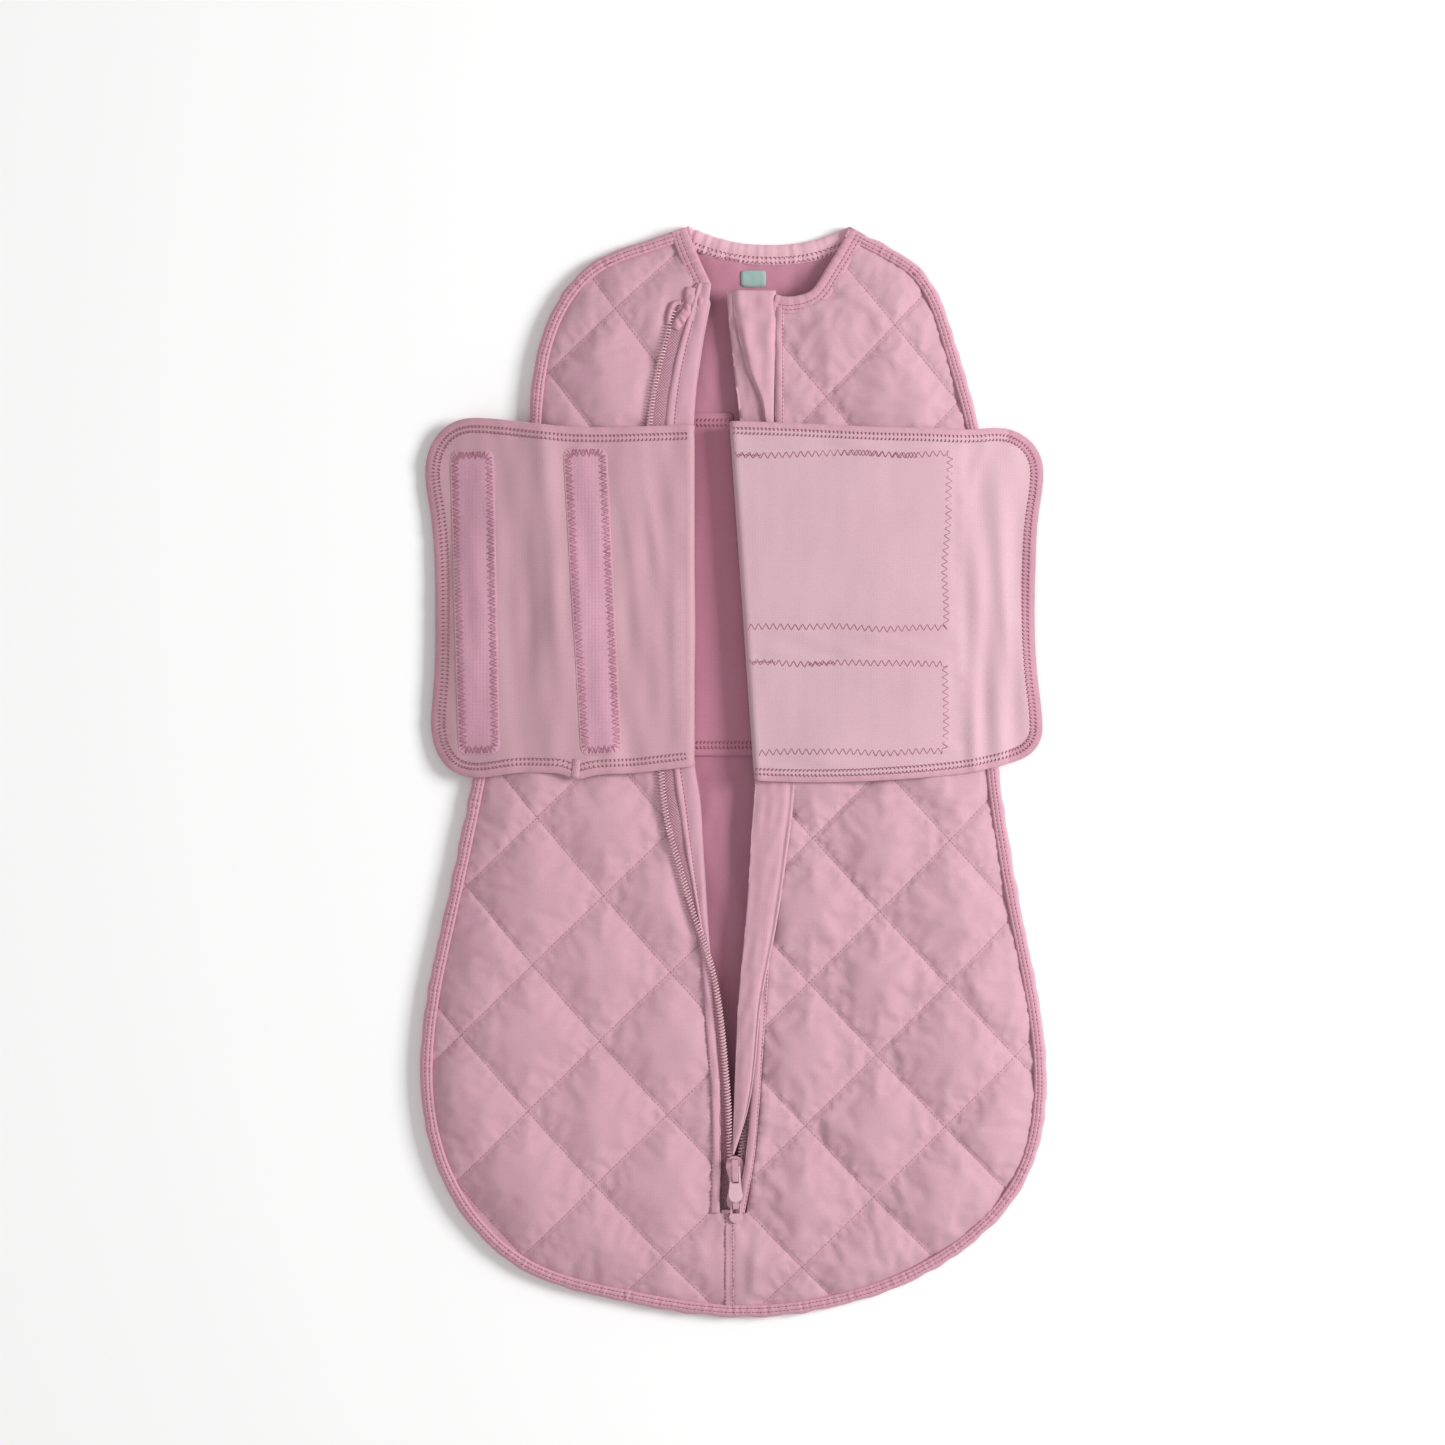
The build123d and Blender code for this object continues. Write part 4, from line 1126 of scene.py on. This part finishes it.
LEFT_OUTLINE = [
    (-26, 221.6), (-60, 220.4), (-88, 219.9), (-115, 221.2), (-140, 224.2), (-160, 226.3), (-175, 225.6),
    (-186, 220.0), (-193.4, 210.5), (-197.4, 196), (-194.6, 168), (-192.0, 140), (-191.2, 93), (-192.6, 50),
    (-193.6, 26), (-189.5, 11.5), (-179.0, 0.2), (-166, -3.2), (-141, -0.4), (-118, -0.2), (-109, -1.2),
    (-101.7, -4.0), (-92, -2.4), (-70, -0.6), (-46.7, 1.6), (-26, 4.0),
]
RIGHT_OUTLINE = [
    (-1.6, 223.8), (41.7, 222.3), (88.9, 220.2), (130, 219.2), (158, 219.2), (174, 219.8), (184.5, 216.4),
    (193.2, 209.2), (198.2, 198), (198.8, 188), (195.8, 165), (193.9, 138), (193.2, 93), (195.3, 60),
    (198.2, 34), (196.8, 20), (189.8, 11.2), (178.0, 6.2), (155, 0.8), (120, -3.2), (73, -5.8), (40, -6.0),
    (14.2, -5.2),
]


def wing(name, side, outline, relief, rows, cloth, edge_cloth, bound_from, nodes):
    """One wing: its panel, its folded edge, and the cloth that goes down into the opening."""
    line = smooth_line(outline, 2.0)
    w = side * (line[:, 0] - fold_x(side, line[:, 1]))
    rim = np.column_stack([w, line[:, 1]])
    head, foot_y = rim[0, 1], rim[-1, 1]
    polygon = np.concatenate([rim, [(RISER, max(foot_y, 9.5)), (RISER, min(head, 221))]])
    creases = [np.column_stack([np.full(150, at), np.linspace(foot_y + 2.5, head - 2.5, 150)])
               for at in (-5.0, -3.4, -1.8, -0.2, 1.4, 3.0, 4.6, 6.4)]
    for at in (rows[0] - 0.3, rows[1] + 0.4):
        row = beside(rim, -at)
        creases.append(row[inside(row, polygon) & (nearest(row, rim) > at - 0.2) & (row[:, 0] > 7)])
    plan, triangles, _ = fill_in(polygon, creases, 3.2, rows=())
    w, y = plan[:, 0], plan[:, 1]
    x, z = wing_middle(side, w, y)
    x1, z1 = wing_middle(side, w + 0.4, y)
    x0, z0 = wing_middle(side, w - 0.4, y)
    tilt = unit(np.stack([z0 - z1, x1 - x0], axis=1)) * side
    d = nearest(plan, rim)
    rise = relief(x, y) * ease((w - 1) / 12) * (0.35 + 0.65 * ease(d / 12))
    hem = 0.32 * (1 - ease(d - rows[0] + 0.9) - bumps(d, sum(rows) / 2, (rows[1] - rows[0]) * 0.62))
    scallop = 0.14 * waves(x, y, 120 + side, 6.5, 6.5) * np.exp(-d / 6)
    over = rise + hem + scallop - 0.45 * np.exp(-d / 0.7)
    beneath = rise * 0.9 + 0.35 * np.exp(-d / 0.7)
    top, under = (np.column_stack([x + tilt[:, 0] * off, y, z + tilt[:, 1] * off])
                  for off in (WING_THICK / 2 + over, beneath - WING_THICK / 2))
    if side < 0:
        triangles = triangles[:, ::-1]
    piece = skinned(name, two_skins(top, under, triangles, 0.55), cloth, body=None)
    piece.data.materials.append(edge_cloth)
    piece.data.materials.append(wing_end_bound)
    middles = d[triangles].mean(axis=1)
    on_edge = (middles < rows[0] - 0.3).astype(int)
    on_edge[(middles < rows[1] + 0.4) & (side * x[triangles].mean(axis=1) > bound_from)] = 2
    index = np.ones(len(piece.data.polygons), np.int32)
    index[:len(triangles)] = on_edge
    index[len(triangles):2 * len(triangles)] = on_edge
    piece.data.polygons.foreach_set("material_index", index)
    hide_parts(*nodes)
    tree = surface_of(piece)
    stitch_line = line[line[:, 0] < -29] if side < 0 else line[::-1][line[::-1, 0] > -6]
    cover = stitched(name + "_cover_stitches", tree, ladder(stitch_line, *rows, 2.55), 0.04, 0.34, body=None)
    for part in (piece, cover):
        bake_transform(part)
    return tree


wing_left_edge = fabric("wing_edge_left", (0.585, 0.325, 0.395), weave=0.0010, kind="plain", mottle=0.08)
wing_right_edge = fabric("wing_edge_right", (0.615, 0.350, 0.420), weave=0.0010, kind="plain", mottle=0.08)
wing_end_bound = fabric("wing_end_binding", (0.530, 0.285, 0.355), weave=0.0010, kind="plain", mottle=0.08)
# The left wing's cloth carries painted shade, the right wing's painted light.
left_wing_tree = wing(
    "left_wing_cloth", -1, LEFT_OUTLINE, left_relief, (4.6, 8.8),
    wing_left_knit_painted_shade, wing_left_edge, 400, ("left_wing_panel", "left_wing_edging", "left_belt_riser"))
right_wing_tree = wing(
    "right_wing_cloth", 1, RIGHT_OUTLINE, right_relief, (3.6, 7.6),
    wing_right_knit_painted_light, wing_right_edge, 176, ("right_wing_panel", "right_wing_edging", "right_belt_riser"))


def left_wing_height(x, y, _):
    """The left wing's own height, held level past its lower edge."""
    return heights_on(left_wing_tree, np.array([(x, max(y, -1.5))]), 22.6)[0][0]


# The edge binding's join, a short doubled end across the left wing's lower edge.
laid_strip("left_wing_edge_join", [(-103.6, -3.6), (-102.4, 8.4)], [(-98.6, -3.4), (-97.6, 8.2)],
           wing_left_edge, crown=0.3, steps=7, seed=8, under=left_wing_height, body="left_wing")


def rounded(corners, radius):
    """A closed line with its corners rounded."""
    c = np.array(corners, float)
    made = []
    for i in range(len(c)):
        before, here, after = c[i - 1], c[i], c[(i + 1) % len(c)]
        a = here + (before - here) / np.linalg.norm(before - here) * radius
        b = here + (after - here) / np.linalg.norm(after - here) * radius
        for t in np.linspace(0, 1, 6):
            made.append((1 - t) ** 2 * a + 2 * t * (1 - t) * here + t * t * b)
    made.append(made[0])
    return even(np.array(made), 1.2)


def patch(name, rim, spacing, heights, bulge, material, body="root"):
    """A flat-lying piece inside a rim; heights(x, y) gives its top's and its underside's."""
    plan, triangles, _ = fill_in(rim, [], spacing, rows=())
    top, under = (np.column_stack([plan, z]) for z in heights(plan[:, 0], plan[:, 1]))
    return skinned(name, two_skins(top, under, triangles, bulge), material, body)


def hook_strip(name, corners, seed):
    """A stiff strip of hook tape sewn flat onto the left wing with two rows of zigzag."""
    rim = rounded(corners, 6.0)[:-1]

    def heights(x, y):
        plan = np.column_stack([x, y])
        z, _ = heights_on(left_wing_tree, plan, 22)
        d = nearest(plan, rim)
        top = z + 0.45 - 0.28 * np.exp(-d / 0.9) - 0.12 * bumps(d, 3.0, 1.8) + 0.07 * waves(x, y, seed, 9, 22)
        return top, z + 0.05

    piece = patch(name + "_tape", rim, 3.0, heights, 0.25, hook_cloth, "left_wing")
    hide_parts(name)
    outline = closed(rim)
    middle = [outline.mean(axis=0)]
    for row, inset, width, pitch, raise_by in (("_zigzag", 2.7, 4.4, 2.3, 0.03),
                                               ("_inner_row", 3.2, 5.6, 3.9, 0.02)):
        pairs = [zigzag(beside(outline, s), width, pitch) for s in (inset, -inset)]
        pairs = [p for p in pairs if nearest(middle, p[0])[0] < nearest(middle, outline)[0]]
        stitched(name + row, piece, pairs, raise_by, 0.17, thread_soft, body="left_wing")


hook_strip("hook_strip_outer", [(-182.0, 206.2), (-153.6, 206.2), (-149.6, 11.6), (-176.2, 10.8)], 131)
hook_strip("hook_strip_inner", [(-109.0, 207.0), (-81.0, 207.4), (-71.3, 12.2), (-97.2, 10.4)], 132)

zigzag_pairs = []
for corners in (UPPER_PATCH, LOWER_PATCH):
    top_left, top_right, foot_right, foot_left = corners
    out = [(top_left[0] - 4, top_left[1] - 2.2), (top_right[0] - 2.2, top_right[1] - 2.2),
           (foot_right[0] - 2.2, foot_right[1] + 2.2), (foot_left[0] - 1, foot_left[1] + 2.2)]
    run = even(np.array(out), 1.0)
    jitter = waves(np.arange(len(run)) * 1.0, np.zeros(len(run)), 140 + int(corners[0][1]), 60, 10) * 0.5
    run = run + left_of(run) * jitter[:, None]
    again = zigzag(run[40:58], 2.2, 2.9) if corners is LOWER_PATCH else zigzag(run[66:120], 4.0, 4.1)
    zigzag_pairs += [zigzag(run, 4.3, 4.7), zigzag(run[4:20], 1.6, 2.3), again]
stitched("loop_patch_zigzags", right_wing_tree, zigzag_pairs, 0.03, 0.19, body="right_wing")

loop_cloth = fabric("loop_tape", (0.560, 0.300, 0.385), weave=0.0013, relief=0.0005, fleck=0.3, sheen=0.5)


def loop_heights(x, y):
    """A loop patch's top, sewn to the wing's underside, and its pile below."""
    z = np.interp(x, FALL_LINE[1][:, 0], FALL_LINE[1][:, 1]) - WING_THICK / 2
    return z + 0.2, z - 0.85 + 0.10 * waves(x, y, 150, 6, 6)


for name, corners in (("loop_patch_upper", [(3.5, 205.5), (140, 205.5), (137.5, 90.5), (11, 90.5)]),
                      ("loop_patch_lower", [(13, 71.8), (138, 71.8), (137.6, 10.6), (17.5, 10.6)])):
    piece = patch(name + "_tape", rounded(corners, 3.0)[:-1], 5.0, loop_heights, 0.2, loop_cloth,
                  "right_wing")
    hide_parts(name)


def belt_heights(x, y):
    """The belt's middle, with its hems and the dips of their stitches, on the back's lining."""
    hem = 0.25 * (ease((18 - y) / 2) + ease((y - 223) / 2) - bumps(y, 17.2, 2.6) - bumps(y, 224.4, 2.6))
    return 7.0 + hem + 0.10 * waves(x, y, 160, 20, 60), np.full(len(x), BACK_TOP + 0.15)


belt_rim = np.array([(-27.5, 10.5), (15.0, 10.5), (-0.8, 230.6), (-27.5, 230.6)])
# The belt's middle has the lining colour, with its painted shade.
belt = patch("belt_centre", even(closed(belt_rim), 2.0)[:-1], 2.6, belt_heights, 0.4, lining)
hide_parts("belt_centre_panel")
pairs = ladder(even([(-26, 226.6), (0, 226.6)], 1), 0, -4.4, 2.5)
pairs += ladder(even([(-26, 19.4), (13, 19.4)], 1), 0, -4.4, 2.5)
belt_stitches = stitched("belt_cover_stitches", belt, pairs, 0.04, 0.34)

# ---------------------------------------------------------------- small parts
# These nodes keep their CAD shape.
for node_name, material in (("upper_slider", slider_paint), ("lower_slider", slider_paint),
                            ("upper_pull", pull_paint), ("lower_pull", pull_paint_low),
                            ("zipper_bottom_stop", slider_paint), ("left_arm_snaps", snap_resin),
                            ("right_arm_snaps", snap_resin)):
    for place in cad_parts[node_name].material_slots:
        place.material = material


def label_heights(x, y):
    """The blank label's two sides, a little uneven."""
    z = 6.2 + 0.08 * waves(x, y, 171, 7, 7)
    return z + 0.35, z - 0.1


label_rim = rounded([(5, 311.8), (21, 311.8), (21, 322.2), (5, 322.2)], 1.2)[:-1]
label = patch("neck_label_woven", label_rim, 1.4, label_heights, 0.1, label_cloth)
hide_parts("neck_label")

tack_pairs = []
binding_middle = beside(side_line, 4.0)
for share in (0.032, 0.114, 0.970, 0.888):
    i = int(share * (len(binding_middle) - 1))
    here, normal = binding_middle[i], left_of(binding_middle)[i]
    along = np.array([normal[1], -normal[0]])
    k = np.linspace(-0.9, 0.9, 7)[:, None]
    tack_pairs.append((here + along * k - normal * 2.9, here + along * (k + 0.12) + normal * 2.9))
tacks = stitched("arm_opening_tacks", side_tree, tack_pairs, 0.12, 0.24)
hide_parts("bar_tacks")

# ---------------------------------------------------------------- floor, light and camera
floor_mesh = bpy.data.meshes.new("studio_floor")
floor_mesh.from_pydata([(-15, -15, 0), (15, -15, 0), (15, 15, 0), (-15, 15, 0)], [], [(0, 1, 2, 3)])
floor_mat, _, floor_shader = nodes_of("studio_floor")
floor_shader.inputs["Base Color"].default_value = (0.95, 0.95, 0.95, 1)
floor_shader.inputs["Roughness"].default_value = 0.9
floor_mesh.materials.append(floor_mat)
studio_floor = bpy.data.objects.new("studio_floor", floor_mesh)
scene.collection.objects.link(studio_floor)

world = bpy.data.worlds.new("studio")
scene.world = world
world.use_nodes = True
world.node_tree.nodes["Background"].inputs["Color"].default_value = (1.0, 0.99, 0.985, 1)
world.node_tree.nodes["Background"].inputs["Strength"].default_value = 0.45
scene.view_settings.view_transform = "Standard"


def softbox(name, place, size, watts):
    """A square light turned to the bag's middle."""
    light = bpy.data.lights.new(name, "AREA")
    light.shape, light.size, light.energy = "SQUARE", size, watts
    lamp = bpy.data.objects.new(name, light)
    lamp.location = place
    lamp.rotation_euler = (-Vector(place)).to_track_quat("-Z", "Y").to_euler()
    scene.collection.objects.link(lamp)


softbox("key_softbox", (2.85, 0.52, 2.05), 1.3, 123)
softbox("fill_softbox", (-1.0, -0.3, 2.4), 1.8, 9)

VIEW_WIDTH, VIEW_X, VIEW_Y, LENS, SENSOR = 0.9248, -0.0070, 0.0317, 100.0, 36.0
camera_data = bpy.data.cameras.new("photo_camera")
camera_data.lens, camera_data.sensor_width, camera_data.clip_end = LENS, SENSOR, 20
camera = bpy.data.objects.new("photo_camera", camera_data)
camera.location = (VIEW_X, VIEW_Y, VIEW_WIDTH * LENS / SENSOR + CROWN_TOP * MM)
scene.collection.objects.link(camera)
scene.camera = camera
